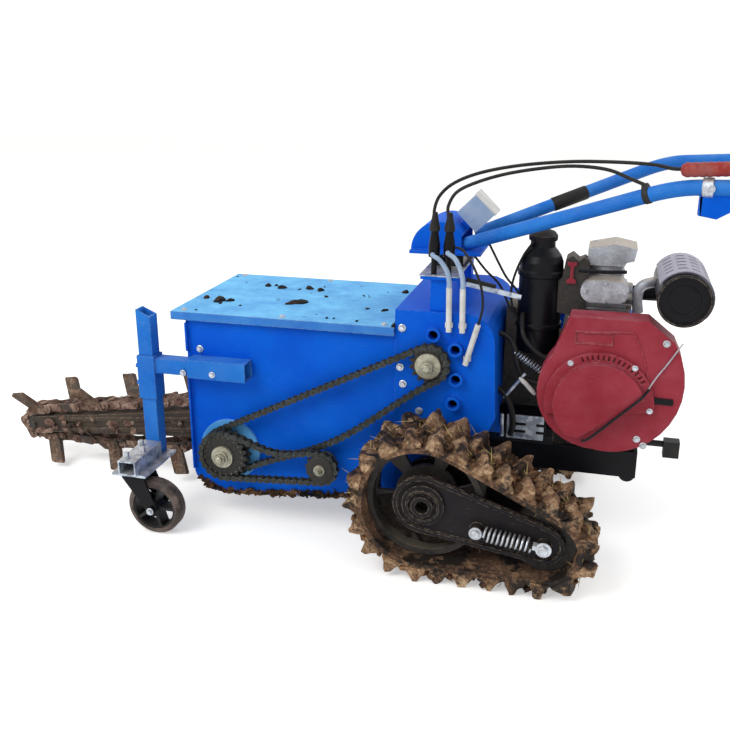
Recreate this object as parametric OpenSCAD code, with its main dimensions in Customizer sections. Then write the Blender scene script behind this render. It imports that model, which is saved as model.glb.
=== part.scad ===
// Walk-behind chain trencher on rubber tracks.
// +X points to the operator, +Y to the far side, +Z up. The ground is Z = 0.

/* [Tracks] */
// Drive axle, behind the middle of the machine
axle_x = 263; // [240:1:285]
// Radius of a track round its drive wheel, over the lugs
track_r = 193; // [185:1:200]
// Radius of a track round its idler, over the lugs
idler_r = 125; // [115:1:135]
// Distance from the drive axle back to the idler
track_base = 292; // [280:1:310]
// Width of one track
track_w = 170; // [150:1:190]
// Distance from a box wall to the inner edge of its track
track_room = 35; // [32:1:50]
// Thickness of the rubber belt
belt_t = 18; // [14:1:22]
// Height of the lugs
lug_h = 30; // [22:1:36]
// Number of lugs in each half of a track
lug_count = 24; // [20:1:28]
// Radius of the drive axle
axle_r = 25; // [20:1:30]
// Thickness of the track frame's plates
frame_plate_t = 8; // [6:1:12]

/* [Digging box] */
// Front edge of the box walls
box_front_x = -420; // [-430:1:-410]
// Rear edge of the box walls, where the gear case begins
box_rear_x = 150; // [140:1:160]
// Outside width over the box walls
box_w = 430; // [420:1:440]
// Lowest point of the box walls, behind their front corner
box_bottom = 68; // [60:1:80]
// Upper edge of the box walls, under the lid
box_top = 581; // [570:1:595]
// Thickness of the box walls
wall_t = 6; // [4:1:8]
// Height of the walls' rounded lower front corner
box_corner_h = 55; // [45:1:65]
// Length of that rounded corner along the lower edge
box_corner_l = 130; // [110:1:140]
// Width of the flange along the walls' front edge
flange_w = 12; // [8:1:16]
// Lower edge of the front plate, above the boom's opening
front_plate_z = 400; // [380:1:430]
// Thickness of the lid's sheet
lid_t = 3; // [2:0.5:4]
// Depth of the lid's turned-down rim
lid_rim = 22; // [16:1:30]
// Overhang of the lid past the walls
lid_over = 15; // [10:1:22]
// Overhang of the lid past the front edge
lid_front_over = 35; // [20:1:45]

/* [Gear case] */
// Upper edge of the gear case at its front
case_top = 628; // [615:1:645]
// Radius of the gear case's upper rear corner
case_corner_r = 72; // [60:1:90]
// Rear edge of the gear case at its top
case_top_rear_x = 398; // [392:1:402]
// Rear edge of the gear case at its shoulder
case_shoulder_x = 407; // [403:1:410]
// Height of the shoulder
case_shoulder_z = 363; // [340:1:380]
// Rear edge of the gear case at its foot
case_foot_x = 382; // [370:1:390]
// Lower edge of the gear case
case_bottom = 110; // [100:1:120]
// Step from a box wall out to the gear case's side
case_over = 5; // [2:1:8]
// Thickness of the gear case's walls
case_t = 10; // [6:1:14]
// Outer radius of the pipe bosses on the side plate
boss_r = 18; // [16:1:20]
// Radius of the hole in a pipe boss
boss_hole_r = 12; // [9:1:13]
// Length of the pipe bosses
boss_len = 18; // [12:1:24]

/* [Chain drive] */
// Pitch of the two drive chains
chain_pitch = 19.05; // [17:0.05:20]
// Height of the chain plates
chain_plate_h = 17; // [14:1:18]
// Width of a drive chain over its plates
chain_w = 22; // [18:1:24]
// Drive shaft, behind the middle
drive_x = 241; // [236:1:246]
// Height of the drive shaft
drive_z = 499; // [494:1:504]
// Radius of the drive shaft
drive_shaft_r = 17; // [14:1:20]
// Teeth of the drive sprocket
drive_teeth = 15; // [13:1:17]
// Head shaft, ahead of the middle
head_x = -306; // [-312:1:-300]
// Height of the head shaft
head_z = 204; // [200:1:210]
// Radius of the head shaft
head_shaft_r = 20; // [17:1:22]
// Teeth of the double sprocket on the head shaft
head_teeth = 21; // [19:1:22]
// Radius of the head shaft's bearing seats
seat_r = 85; // [78:1:90]
// Thickness of the bearing seats
seat_t = 10; // [6:1:12]
// Cross shaft, ahead of the middle
cross_x = -33; // [-40:1:-26]
// Height of the cross shaft
cross_z = 199; // [192:1:206]
// Radius of the cross shaft
cross_shaft_r = 15; // [12:1:18]
// Teeth of the sprocket on the cross shaft
cross_teeth = 13; // [12:1:15]
// Distance of the upper chain's middle from the wall
upper_chain_out = 25; // [24:1:27]
// Distance between the two chains' middles
chain_spacing = 28; // [26:1:32]
// Sag of the lower chain's top strand
chain_sag = 24; // [0:1:30]
// Sag of the upper chain's slack lower strand
slack_sag = 36; // [0:1:44]

/* [Boom] */
// Distance from the head shaft to the nose roller
boom_len = 753; // [700:1:780]
// Slope of the parked boom below level, in degrees
boom_slope = 6; // [4:0.5:7]
// Pitch radius of the digging sprocket
dig_sprocket_r = 75; // [70:1:80]
// Pitch radius of the nose roller
nose_r = 42; // [38:1:46]
// Height of the digging chain's plates
dig_plate_h = 28; // [24:1:32]
// Width of the digging chain over its plates
dig_chain_w = 60; // [50:1:64]
// Thickness of the boom's side plates
boom_plate_t = 8; // [6:1:10]
// Height of the cutters above the chain
cutter_h = 60; // [45:1:62]
// Width of the trench that the cutters dig
trench_w = 150; // [120:1:170]
// Lean of the cutters towards the chain's travel, in degrees
cutter_lean = 24; // [0:1:30]
// Sag of the digging chain's lower run
dig_sag = 20; // [10:1:22]
// Number of cutters on the digging chain
cutter_count = 18; // [12:2:22]

/* [Depth wheel] */
// Outside of the square socket and sleeve tubes
socket_w = 50; // [46:1:54]
// Outside of the square bar and post
post_w = 40; // [36:1:44]
// Wall of the square tubes
tube_t = 4; // [3:0.5:5]
// Front end of the socket tube on the wall
socket_front_x = -400; // [-410:1:-390]
// Rear end of the socket tube
socket_rear_x = -237; // [-250:1:-220]
// Lower face of the socket tube
socket_z = 414; // [405:1:425]
// Middle of the depth post, ahead of the middle
post_x = -520; // [-530:1:-510]
// Upper end of the depth post
post_top = 590; // [570:1:620]
// Height of the sleeve round the post
sleeve_h = 120; // [100:1:140]
// Distance of the caster from the near wall
caster_out = 135; // [130:1:150]
// Height of the arm that carries the caster
arm_h = 40; // [34:1:46]
// Radius of the caster wheel
caster_r = 76; // [72:1:80]
// Width of the caster wheel
caster_w = 46; // [40:1:50]
// Distance of the caster's axle behind its swivel
caster_trail = 50; // [40:1:56]
// Radius of the caster's axle
caster_axle_r = 6; // [5:0.5:8]

/* [Engine] */
// Crankshaft, behind the middle of the machine
crank_x = 646; // [640:1:652]
// Height of the crankshaft
crank_z = 451; // [446:1:456]
// Upper face of the engine frame
engine_floor = 285; // [278:1:292]
// Rear end of the engine frame
frame_rear_x = 755; // [740:1:770]
// Length of the crankcase along the machine
crankcase_l = 200; // [194:1:206]
// Width of the crankcase across the machine
crankcase_w = 280; // [270:1:290]
// Upper face of the crankcase
crankcase_top = 560; // [550:1:570]
// Radius of the recoil starter
recoil_r = 106; // [102:1:108]
// Radius of the fan shroud below the crankshaft
shroud_r = 143; // [136:1:150]
// Growth of that radius up to the shroud's rear
shroud_grow = 72; // [50:1:80]
// Depth of the recoil starter
recoil_d = 32; // [26:1:38]
// Depth of the fan shroud
shroud_d = 70; // [62:1:76]
// Radius of the air cleaner
cleaner_r = 58; // [54:1:60]
// Lower end of the air cleaner
cleaner_z = 505; // [495:1:515]
// Height of the air cleaner without its cap
cleaner_h = 264; // [254:1:270]
// Radius of the muffler
muffler_r = 60; // [54:1:64]
// Height of the muffler's axis
muffler_z = 692; // [685:1:699]
// Gap between the cylinder's fins and the muffler
muffler_gap = 49; // [40:1:60]
// Length of the muffler
muffler_l = 260; // [230:1:290]

/* [Handlebars] */
// Radius of the handlebar tubes
bar_r = 17; // [15:1:18]
// Rear end of the handlebars
bar_end_x = 1146.5; // [1130:0.5:1160]
// Height of the handlebars at the bend
bar_bend_z = 952; // [945:1:960]
// Distance of the handlebars' bend from the middle plane
bar_bend_y = 270; // [258:1:282]
// Distance of the grips from the middle plane
bar_end_y = 332; // [320:1:345]
// Height of the grips
bar_end_z = 966; // [960:1:980]
// Length of the grips
grip_len = 130; // [110:1:145]
// Radius of the grips
grip_r = 21; // [20:1:23]

/* [Hidden] */
$fn = 48;

// Colours as the machine shows them
blue = "#1a55c8";
steel = "#9a9a98";
dark_steel = "#4a4744";
black = "#222222";
rubber = "#4a4038";
mud = "#7a5a48";
red = "#9a2f3a";
aluminium = "#b8b8b0";
zinc = "#b8c0cc";
white = "#d8d8d2";

// Clearance of a shaft in its bore
running = 0.05;
// Room that a many-sided belt leaves round a wheel
chord_room = 0.8;
// Step that keeps two stacked sheets' edges apart
edge_step = 1;
// Clearance of a square bar in its tube
slide_room = 1;
// Gap between the set bolts and the sliding post
bolt_gap = 0.2;
// Gap between a cable and the bar that it lies on
touch = 0.2;
// Extra length of a cutting tool past the face that it cuts
cut = 1;

// Track: belt outside the lugs' feet, wheel centres in the side view
belt_r = track_r - lug_h;
idler_belt_r = idler_r - lug_h;
drive_centre = [axle_x, track_r];
idler_centre = [axle_x + track_base, idler_r];
drive_wheel_r = belt_r - belt_t - chord_room;
idler_wheel_r = idler_belt_r - belt_t - chord_room;
track_in = box_w / 2 + track_room;
track_out = track_in + track_w;
wheel_in = track_in + 35;
wheel_out = track_out - 50;
frame_in = track_in + 20;
frame_out = track_out - 36;
idler_pin_r = 12;

// Digging box and gear case
wall_y = box_w / 2;
case_y = wall_y + case_over;
lid_y = wall_y + lid_over;
lid_top = box_top + lid_t;

// Chain drive: planes of the two chains on the near side, and pitch radii
upper_y = -wall_y - upper_chain_out;
lower_y = upper_y - chain_spacing;
drive_pitch_r = chain_pitch / (2 * sin(180 / drive_teeth));
head_pitch_r = chain_pitch / (2 * sin(180 / head_teeth));
cross_pitch_r = chain_pitch / (2 * sin(180 / cross_teeth));
sprocket_t = 11;

// Pipe bosses round the drive sprocket, and one lower down above the track
boss_ring_r = drive_pitch_r + chain_plate_h / 2 + boss_r + 3;
boss_places = [for (a = [84, 33, -28]) [drive_x, drive_z] + boss_ring_r * [cos(a), sin(a)],
    [drive_x + 61, 2 * track_r + boss_hole_r + cut]];

// Depth wheel, worked out from the ground upwards
socket_y = -wall_y - socket_w / 2;
socket_in = socket_w - 2 * tube_t;
sleeve_z = socket_z + socket_w - sleeve_h;
caster_y = -wall_y - caster_out;
fork_gap = 6;
fork_t = 6;
fork_plate_z = 2 * caster_r + fork_gap;
race_z = fork_plate_z + fork_t;
race_h = 9;
caster_plate_t = 6;
caster_plate_z = race_z + race_h + slide_room;
arm_z = caster_plate_z + caster_plate_t;
arm_top = arm_z + arm_h;
post_bottom = arm_z + cut;

// Engine, sides and tops that other pieces sit on
engine_near = -crankcase_w / 2;
engine_far = crankcase_w / 2 + 20;
shroud_near = engine_near - shroud_d;
shroud_t = 4;
head_core = [100, 150, 110];
fin_over = 14;
cleaner_x = crank_x - crankcase_l / 2 - cleaner_r - 2;
cleaner_y = -55;
port_z = crankcase_top + 95;
muffler_x = crank_x + head_core[0] / 2 + fin_over + muffler_gap + muffler_r;
muffler_near = -220;
muffler_far = muffler_near + muffler_l;
cleaner_step = 4;
frame_h = 70;

// Handlebar seat on its column
column_r = 21;
column_x = drive_x + 15;
column_y = case_y - 30;
column_h = 80;
boot_x = [column_x - 15, column_x + 21];
boot_y = -column_y - 14;
boot_h = 110;
plate_t = 8;
seat_plate_z = case_top + column_h;
bracket_z = seat_plate_z + plate_t;
bracket_h = 32;
seat_z = bracket_z + bracket_h;
hood_x = column_x - 24;
hood_z = seat_z + plate_t - cut;
hood_r = 72;
box_tilt = 45;
box_stand = 15;
box_size = [70, 84, 66];
bar_start = [column_x + 44, 72, seat_z + plate_t + 0.925 * bar_r];
bar_bend = [bar_end_x - 372, bar_bend_y, bar_bend_z];
bar_end = [bar_end_x, bar_end_y, bar_end_z];
lever_rise = 38;
lever_r = 13;
lever_ends = [for (u = [0.02, 0.6]) near_side(mix(bar_bend, bar_end, u)) + [0, 0, lever_rise + 8 * u]];
cable_r = 4;

// Direction in the side view at an angle in degrees
function dir(a) = [cos(a), sin(a)];
function unit(v) = v / norm(v);
function mix(a, b, u) = a + (b - a) * u;

// A belt round two circles, centre p and radius rp, centre q and radius rq, seen from the side.
// belt_turn is the angle from p's tangent points to the line of centres.
function belt_turn(p, rp, q, rq) = acos((rp - rq) / norm(q - p));
function belt_run(p, rp, q, rq) = sqrt(pow(norm(q - p), 2) - pow(rp - rq, 2));
function arc_len(r, a) = r * a * PI / 180;
function belt_len(p, rp, q, rq) = let (b = belt_turn(p, rp, q, rq))
    2 * belt_run(p, rp, q, rq) + arc_len(rq, 2 * b) + arc_len(rp, 360 - 2 * b);

// Point at distance s along that belt, set off outwards by off. sag gives the first and second run's sag.
function belt_point(p, rp, q, rq, s, off = 0, sag = [0, 0]) =
    let (a = atan2(q[1] - p[1], q[0] - p[0]))
    let (b = belt_turn(p, rp, q, rq), run = belt_run(p, rp, q, rq))
    let (s1 = arc_len(rq, 2 * b), s2 = s1 + run, s3 = s2 + arc_len(rp, 360 - 2 * b))
    let (t = s - belt_len(p, rp, q, rq) * floor(s / belt_len(p, rp, q, rq)))
    t < s1 ? q + (rq + off) * dir(a - b + t / rq * 180 / PI)
    : t < s2 ? let (u = (t - s1) / run)
        q + (rq + off) * dir(a + b) + (t - s1) * dir(a + b + 90) - [0, sag[0] * pow(sin(180 * u), 2)]
    : t < s3 ? p + (rp + off) * dir(a + b + (t - s2) / rp * 180 / PI)
    : let (u = (t - s3) / run)
        p + (rp + off) * dir(a - b) + (t - s3) * dir(a - b + 90) - [0, sag[1] * pow(sin(180 * u), 2)];

// Two circles' common outline with sides straight stretches
function belt_outline(p, rp, q, rq, off, sides, sag = [0, 0]) =
    [for (i = [0 : sides - 1]) belt_point(p, rp, q, rq, i / sides * belt_len(p, rp, q, rq), off, sag)];

// The outline of a chain's plates: full height off at each pin, waist times that between the pins
function link_outline(p, rp, q, rq, off, links, waist, sag = [0, 0]) =
    [for (i = [0 : 2 * links - 1])
        belt_point(p, rp, q, rq, i / links / 2 * belt_len(p, rp, q, rq), i % 2 == 0 ? off : off * waist, sag)];

// A point on the curve with control points a, b, c
function bend_point(a, b, c, u) = mix(mix(a, b, u), mix(b, c, u), u);

// The near side's mirror image of a point on the far handlebar
function near_side(p) = [p[0], -p[1], p[2]];

// A point for a cable that lies along the top of the near handlebar
function on_bar(u) =
    let (along = unit(bar_bend - bar_start))
    let (out = unit([0, 0, 1] - along[2] * along))
    near_side(mix(bar_start, bar_bend, u) + (bar_r + cable_r + touch) * out);

// Extrude a side view, drawn in X and Z, from y0 to y1
module along_y(y0, y1) {
    translate([0, y1, 0])
        rotate([90, 0, 0])
            linear_extrude(height = y1 - y0)
                children();
}

// Round bar across the machine
module rod_y(x, z, y0, y1, r) {
    translate([x, y0, z])
        rotate([-90, 0, 0])
            cylinder(h = y1 - y0, r = r);
}

// Box between two corners
module block(a, b) {
    translate(a)
        cube(b - a);
}

// Round bar between two points
module rod(a, b, r) {
    d = b - a;
    translate(a)
        rotate([0, acos(d[2] / norm(d)), atan2(d[1], d[0])])
            cylinder(h = norm(d), r = r);
}

// The children and their mirror image on the far side
module both_sides() {
    children();
    mirror([0, 1, 0])
        children();
}

// Round tube swept along points. ref is a direction that the path never takes.
module swept(points, r, sides, ref) {
    n = len(points);
    rings = [for (i = [0 : n - 1])
        let (t = unit(points[min(i + 1, n - 1)] - points[max(i - 1, 0)]))
        let (u = unit(cross(t, ref)), v = cross(u, t))
        for (k = [0 : sides - 1]) points[i] + r * (cos(360 * k / sides) * u + sin(360 * k / sides) * v)];
    skin = [for (i = [0 : n - 2], k = [0 : sides - 1])
        let (m = (k + 1) % sides, a = i * sides, b = (i + 1) * sides)
        each [[a + k, a + m, b + m], [a + k, b + m, b + k]]];
    first = [for (k = [sides - 1 : -1 : 0]) k];
    last = [for (k = [0 : sides - 1]) (n - 1) * sides + k];
    polyhedron(rings, concat(skin, [first, last]));
}

// Toothed disc in the side view, root radius r0, tip radius r1
module teeth(count, r0, r1) {
    polygon([for (i = [0 : count - 1], k = [[-0.36, r0], [-0.14, r1], [0.14, r1], [0.36, r0]])
        k[1] * dir((i + k[0]) * 360 / count)]);
}

// One track: the belt with two rows of lugs, half a pitch apart
module track_half(phase) {
    pitch = belt_len(drive_centre, belt_r, idler_centre, idler_belt_r) / lug_count;
    foot = 0.3;
    tip = 0.2;
    lug = [[-foot, 0], [-tip, lug_h], [tip, lug_h], [foot, 0]];
    inner_sides = 64;
    difference() {
        polygon([for (i = [0 : lug_count - 1], c = lug)
            belt_point(drive_centre, belt_r, idler_centre, idler_belt_r, (i + phase + c[0]) * pitch, c[1])]);
        polygon(belt_outline(drive_centre, belt_r, idler_centre, idler_belt_r, -belt_t, inner_sides));
    }
}

module track() {
    along_y(-track_out, -track_out + track_w / 2)
        track_half(0);
    along_y(-track_out + track_w / 2, -track_in)
        track_half(0.5);
}

module track_near() {
    color(rubber)
        track();
}

module track_far() {
    color(rubber)
        mirror([0, 1, 0])
            track();
}

// Drive wheels under the tracks' large ends: a rim, a hub and a web with windows
module drive_wheels() {
    rim_t = 14;
    hub_r = 52;
    web_t = 12;
    windows = 6;
    first = 40;
    half_turn = 20;
    inner = 80;
    outer = drive_wheel_r - rim_t - 3;
    mid = (wheel_in + wheel_out) / 2;
    color(dark_steel)
        both_sides()
            difference() {
                union() {
                    along_y(-wheel_out, -wheel_in)
                        translate(drive_centre)
                            difference() {
                                circle(r = drive_wheel_r);
                                circle(r = drive_wheel_r - rim_t);
                            }
                    rod_y(axle_x, track_r, -wheel_out, -wheel_in, hub_r);
                    rod_y(axle_x, track_r, -mid - web_t / 2, -mid + web_t / 2, drive_wheel_r - rim_t / 2);
                }
                rod_y(axle_x, track_r, -wheel_out - cut, -wheel_in + cut, axle_r + running);
                for (i = [0 : windows - 1])
                    along_y(-mid - web_t, -mid + web_t)
                        translate(drive_centre)
                            rotate(first + i * 360 / windows)
                                polygon(concat([for (a = [-half_turn : 10 : half_turn]) inner * dir(a)],
                                    [for (a = [half_turn : -10 : -half_turn]) outer * dir(a)]));
            }
}

// Idlers at the tracks' small ends, with their pins through the frame plates
module idlers() {
    color(dark_steel)
        both_sides() {
            rod_y(idler_centre[0], idler_centre[1], -wheel_out, -wheel_in, idler_wheel_r);
            rod_y(idler_centre[0], idler_centre[1], -frame_out, -frame_in, idler_pin_r);
        }
}

// Tapered plates inside each track, with the spring tensioner in front of the outer one
module track_frame() {
    hub_end_r = 76;
    idler_end_r = 50;
    sides = 40;
    anchor = drive_centre + [132, -48];
    spring_y = -frame_out - 16;
    rod_r = 6;
    coil_r = 10;
    ridge_r = 17;
    coils = 10;
    coil_pitch = 11.5;
    eye_r = 17;
    edge_w = 12;
    edge_h = 7;
    slope = atan2(anchor[1] - idler_centre[1], idler_centre[0] - anchor[0]);
    for (y = [-frame_out, -frame_in - frame_plate_t])
        along_y(y, y + frame_plate_t)
            difference() {
                polygon(belt_outline(drive_centre, hub_end_r, idler_centre, idler_end_r, 0, sides));
                translate(drive_centre)
                    circle(r = axle_r + running);
                translate(idler_centre)
                    circle(r = idler_pin_r + running);
            }
    along_y(-frame_out - edge_h, -frame_out + frame_plate_t / 2)
        difference() {
            polygon(belt_outline(drive_centre, hub_end_r, idler_centre, idler_end_r, -edge_step, sides));
            polygon(belt_outline(drive_centre, hub_end_r, idler_centre, idler_end_r, -edge_w, sides));
        }
    rod([anchor[0], spring_y, anchor[1]], [idler_centre[0], spring_y, idler_centre[1]], rod_r);
    rod_y(anchor[0], anchor[1], spring_y - rod_r - 2, -frame_out + cut, eye_r);
    rod_y(idler_centre[0], idler_centre[1], spring_y - rod_r - 2, -frame_out, eye_r);
    translate([anchor[0], spring_y, anchor[1]])
        rotate([0, slope + 90, 0])
            rotate_extrude()
                polygon(concat([[0, eye_r - 4]], [for (i = [0 : coils - 1], k = [[coil_r, 0], [ridge_r, 0.5]])
                    [k[0], eye_r + (i + k[1]) * coil_pitch]], [[coil_r, eye_r + coils * coil_pitch],
                    [0, eye_r + coils * coil_pitch]]));
}

module track_frames() {
    color(dark_steel)
        both_sides()
            track_frame();
}

// Drive axle through the gear case, with a ringed hub at each end
module drive_axle() {
    hub_r = 52;
    hub_t = 8;
    ring_out_r = 41;
    ring_in_r = 35;
    ring_t = 14;
    nose_hub_r = 27;
    nose_t = 20;
    bore_r = 16;
    bore_d = 40;
    color(steel)
        difference() {
            union() {
                rod_y(axle_x, track_r, -frame_out - cut, frame_out + cut, axle_r);
                both_sides()
                    translate([axle_x, -frame_out, track_r])
                        rotate([90, 0, 0])
                            rotate_extrude()
                                polygon([[0, 0], [hub_r, 0], [hub_r, hub_t], [ring_out_r, hub_t],
                                    [ring_out_r, ring_t], [ring_in_r, ring_t], [ring_in_r, hub_t], [nose_hub_r, hub_t],
                                    [nose_hub_r, nose_t], [0, nose_t]]);
            }
            both_sides()
                rod_y(axle_x, track_r, -frame_out - nose_t - cut, -frame_out - nose_t + bore_d, bore_r);
        }
}

// Wall of the digging box in the side view, with a rounded front corner and a rising lower edge
module wall_outline() {
    corner = [box_front_x + box_corner_l, box_bottom + box_corner_h];
    difference() {
        polygon(concat([[box_rear_x, box_top], [box_front_x, box_top]],
            [for (a = [180 : 15 : 270]) corner + [box_corner_l * cos(a), box_corner_h * sin(a)]],
            [[box_rear_x, case_bottom]]));
        translate([head_x, head_z])
            circle(r = head_shaft_r + running);
        translate([cross_x, cross_z])
            circle(r = cross_shaft_r + running);
    }
}

// Front flange of a wall, turned outwards above and below the socket
module wall_flange() {
    low = box_bottom + box_corner_h + 12;
    for (z = [[low, socket_z - 12], [socket_z + socket_w + 12, box_top - lid_rim - 6]])
        block([box_front_x + edge_step, -wall_y - flange_w, z[0]],
            [box_front_x + wall_t, -wall_y + wall_t / 2, z[1]]);
}

module box_near_wall() {
    color(blue)
        union() {
            along_y(-wall_y, -wall_y + wall_t)
                wall_outline();
            wall_flange();
        }
}

module box_far_wall() {
    color(blue)
        union() {
            along_y(wall_y - wall_t, wall_y)
                wall_outline();
            mirror([0, 1, 0])
                wall_flange();
        }
}

module box_front() {
    color(blue)
        block([box_front_x, -wall_y + wall_t, front_plate_z], [box_front_x + wall_t, wall_y - wall_t, box_top]);
}

// Lid: a sheet with its rim turned down at the front and both sides
module lid() {
    front = box_front_x - lid_front_over;
    color(blue)
        difference() {
            block([front, -lid_y, lid_top - lid_rim], [box_rear_x, lid_y, lid_top]);
            block([front + lid_t, -lid_y + lid_t, lid_top - lid_rim - cut],
                [box_rear_x + cut, lid_y - lid_t, box_top]);
        }
}

// Gear case outline in the side view, drawn in by inset
module case_outline(inset) {
    corner = [case_top_rear_x, case_top] - [case_corner_r, case_corner_r];
    shoulder_drop = 57;
    polygon(concat(
        [[box_rear_x + inset, case_bottom + inset], [box_rear_x + inset, case_top - inset]],
        [for (a = [90 : -15 : 0]) corner + (case_corner_r - inset) * dir(a)],
        [[case_shoulder_x - inset, case_shoulder_z], [case_foot_x - inset, case_shoulder_z - shoulder_drop],
            [case_foot_x - inset, case_bottom + inset]]));
}

module gear_case() {
    color(blue)
        difference() {
            union() {
                difference() {
                    along_y(-case_y, case_y)
                        case_outline(0);
                    along_y(-case_y + case_t, case_y - case_t)
                        case_outline(case_t);
                }
                for (p = boss_places)
                    rod_y(p[0], p[1], -case_y - boss_len, -case_y + cut, boss_r);
            }
            for (p = boss_places)
                rod_y(p[0], p[1], -case_y - boss_len - cut, -case_y + case_t + cut, boss_hole_r);
            rod_y(drive_x, drive_z, -case_y - cut, -case_y + case_t + cut, drive_shaft_r + running);
            rod_y(axle_x, track_r, -case_y - cut, case_y + cut, axle_r + running);
        }
}

// Round bearing seats of the head shaft, outside both walls
module bearing_seats() {
    color(blue)
        both_sides()
            difference() {
                rod_y(head_x, head_z, -wall_y - seat_t, -wall_y, seat_r);
                rod_y(head_x, head_z, -wall_y - seat_t - cut, -wall_y + cut, head_shaft_r + running);
            }
}

// Toothed wheel of a drive chain in the plane y
module chain_wheel(x, z, y, count, pitch_r) {
    root = pitch_r - chain_plate_h / 2 - 6;
    tip = pitch_r - chain_plate_h / 2 - 1;
    along_y(y - sprocket_t / 2, y + sprocket_t / 2)
        translate([x, z])
            teeth(count, root, tip);
}

// Head shaft with the double sprocket and its nut
module head_shaft() {
    hub_r = 38;
    nut_r = 30;
    nut_t = 18;
    end_y = lower_y - sprocket_t / 2 - nut_t;
    color(steel)
        union() {
            rod_y(head_x, head_z, end_y, wall_y + seat_t + nut_t, head_shaft_r);
            rod_y(head_x, head_z, lower_y, -wall_y - seat_t, hub_r);
            chain_wheel(head_x, head_z, upper_y, head_teeth, head_pitch_r);
            chain_wheel(head_x, head_z, lower_y, head_teeth, head_pitch_r);
            rod_y(head_x, head_z, lower_y - sprocket_t / 2 - nut_t / 2, lower_y, nut_r);
            rod_y(head_x, head_z, wall_y + seat_t, wall_y + seat_t + nut_t / 2, nut_r);
        }
}

// Drive shaft out of the gear case, with its sprocket, hub and nut
module drive_sprocket() {
    hub_r = 26;
    nut_r = 20;
    nut_t = 16;
    color(steel)
        union() {
            rod_y(drive_x, drive_z, upper_y - sprocket_t / 2 - nut_t, -case_y + case_t, drive_shaft_r);
            rod_y(drive_x, drive_z, upper_y - sprocket_t / 2, -case_y, hub_r);
            chain_wheel(drive_x, drive_z, upper_y, drive_teeth, drive_pitch_r);
            rod_y(drive_x, drive_z, upper_y - sprocket_t / 2 - nut_t / 2, upper_y, nut_r);
        }
}

// Cross shaft through the box, with a sprocket on its near end
module cross_shaft() {
    collar_r = 26;
    collar_t = 12;
    nut_t = 12;
    color(steel)
        union() {
            rod_y(cross_x, cross_z, lower_y - sprocket_t / 2 - nut_t, wall_y + collar_t, cross_shaft_r);
            rod_y(cross_x, cross_z, lower_y, -wall_y, collar_r);
            rod_y(cross_x, cross_z, wall_y, wall_y + collar_t, collar_r);
            chain_wheel(cross_x, cross_z, lower_y, cross_teeth, cross_pitch_r);
        }
}

// Roller chain round two sprockets, in the plane y
module drive_chain(p, rp, q, rq, y, sag) {
    links = 2 * round(belt_len(p, rp, q, rq) / chain_pitch / 2);
    waist = 0.68;
    along_y(y - chain_w / 2, y + chain_w / 2)
        difference() {
            polygon(link_outline(p, rp, q, rq, chain_plate_h / 2, links, waist, sag));
            polygon(belt_outline(p, rp, q, rq, -chain_plate_h / 2, links, sag));
        }
}

module upper_chain() {
    color(dark_steel)
        drive_chain([head_x, head_z], head_pitch_r, [drive_x, drive_z], drive_pitch_r, upper_y,
            [0, slack_sag]);
}

module lower_chain() {
    color(dark_steel)
        drive_chain([head_x, head_z], head_pitch_r, [cross_x, cross_z], cross_pitch_r, lower_y,
            [chain_sag, 0]);
}

// The boom's own frame: the head shaft at its origin, the nose on its -X side
module boom_frame() {
    translate([head_x, 0, head_z])
        rotate([0, -boom_slope, 0])
            children();
}

// Bar of the boom: a tapered core between the chain's runs and a plate on each side
module boom_bar() {
    nose = [-boom_len, 0];
    root = [0, 0];
    eye_r = 46;
    nose_eye_r = 24;
    sides = 36;
    core_front = -boom_len + 60;
    core_rear = -100;
    core_front_h = 22;
    core_rear_h = 42;
    plate_y = dig_chain_w / 2 + 4;
    pin_r = 10;
    rail_z = [12, 22];
    rail_t = 5;
    color(mud)
        boom_frame() {
            along_y(-plate_y, plate_y)
                polygon([[core_rear, core_rear_h], [core_front, core_front_h],
                    [core_front, -core_front_h], [core_rear, -core_rear_h]]);
            both_sides()
                for (side = [-1, 1])
                    block([core_front + 60, -plate_y - boom_plate_t - rail_t,
                            side > 0 ? rail_z[0] : -rail_z[1]],
                        [core_rear, -plate_y - boom_plate_t + cut, side > 0 ? rail_z[1] : -rail_z[0]]);
            both_sides()
                along_y(-plate_y - boom_plate_t, -plate_y)
                    difference() {
                        polygon(belt_outline(root, eye_r, nose, nose_eye_r, 0, sides));
                        circle(r = head_shaft_r + running);
                        translate(nose)
                            circle(r = pin_r + running);
                    }
        }
}

// Point and travel angle of the digging chain at distance s along its loop
function dig_point(s, off = 0) =
    belt_point([0, 0], dig_sprocket_r, [-boom_len, 0], nose_r, s, off, [dig_sag, 0]);
function dig_angle(s) = let (d = dig_point(s + cut) - dig_point(s - cut)) atan2(d[1], d[0]);

// Wing cutter, seen along the chain: a foot on one plate and a wing bent out to that side
module cutter(side) {
    foot = [dig_chain_w / 2 - 14, dig_chain_w / 2 - 2];
    wing_w = trench_w / 2;
    top = dig_plate_h / 2;
    tip = top + cutter_h;
    polygon([[side * foot[0], 0], [side * foot[0], -top - 10], [side * (wing_w - 12), -tip],
        [side * wing_w, -tip + 6], [side * foot[1], -top - 3], [side * foot[1], 0]]);
}

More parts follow.
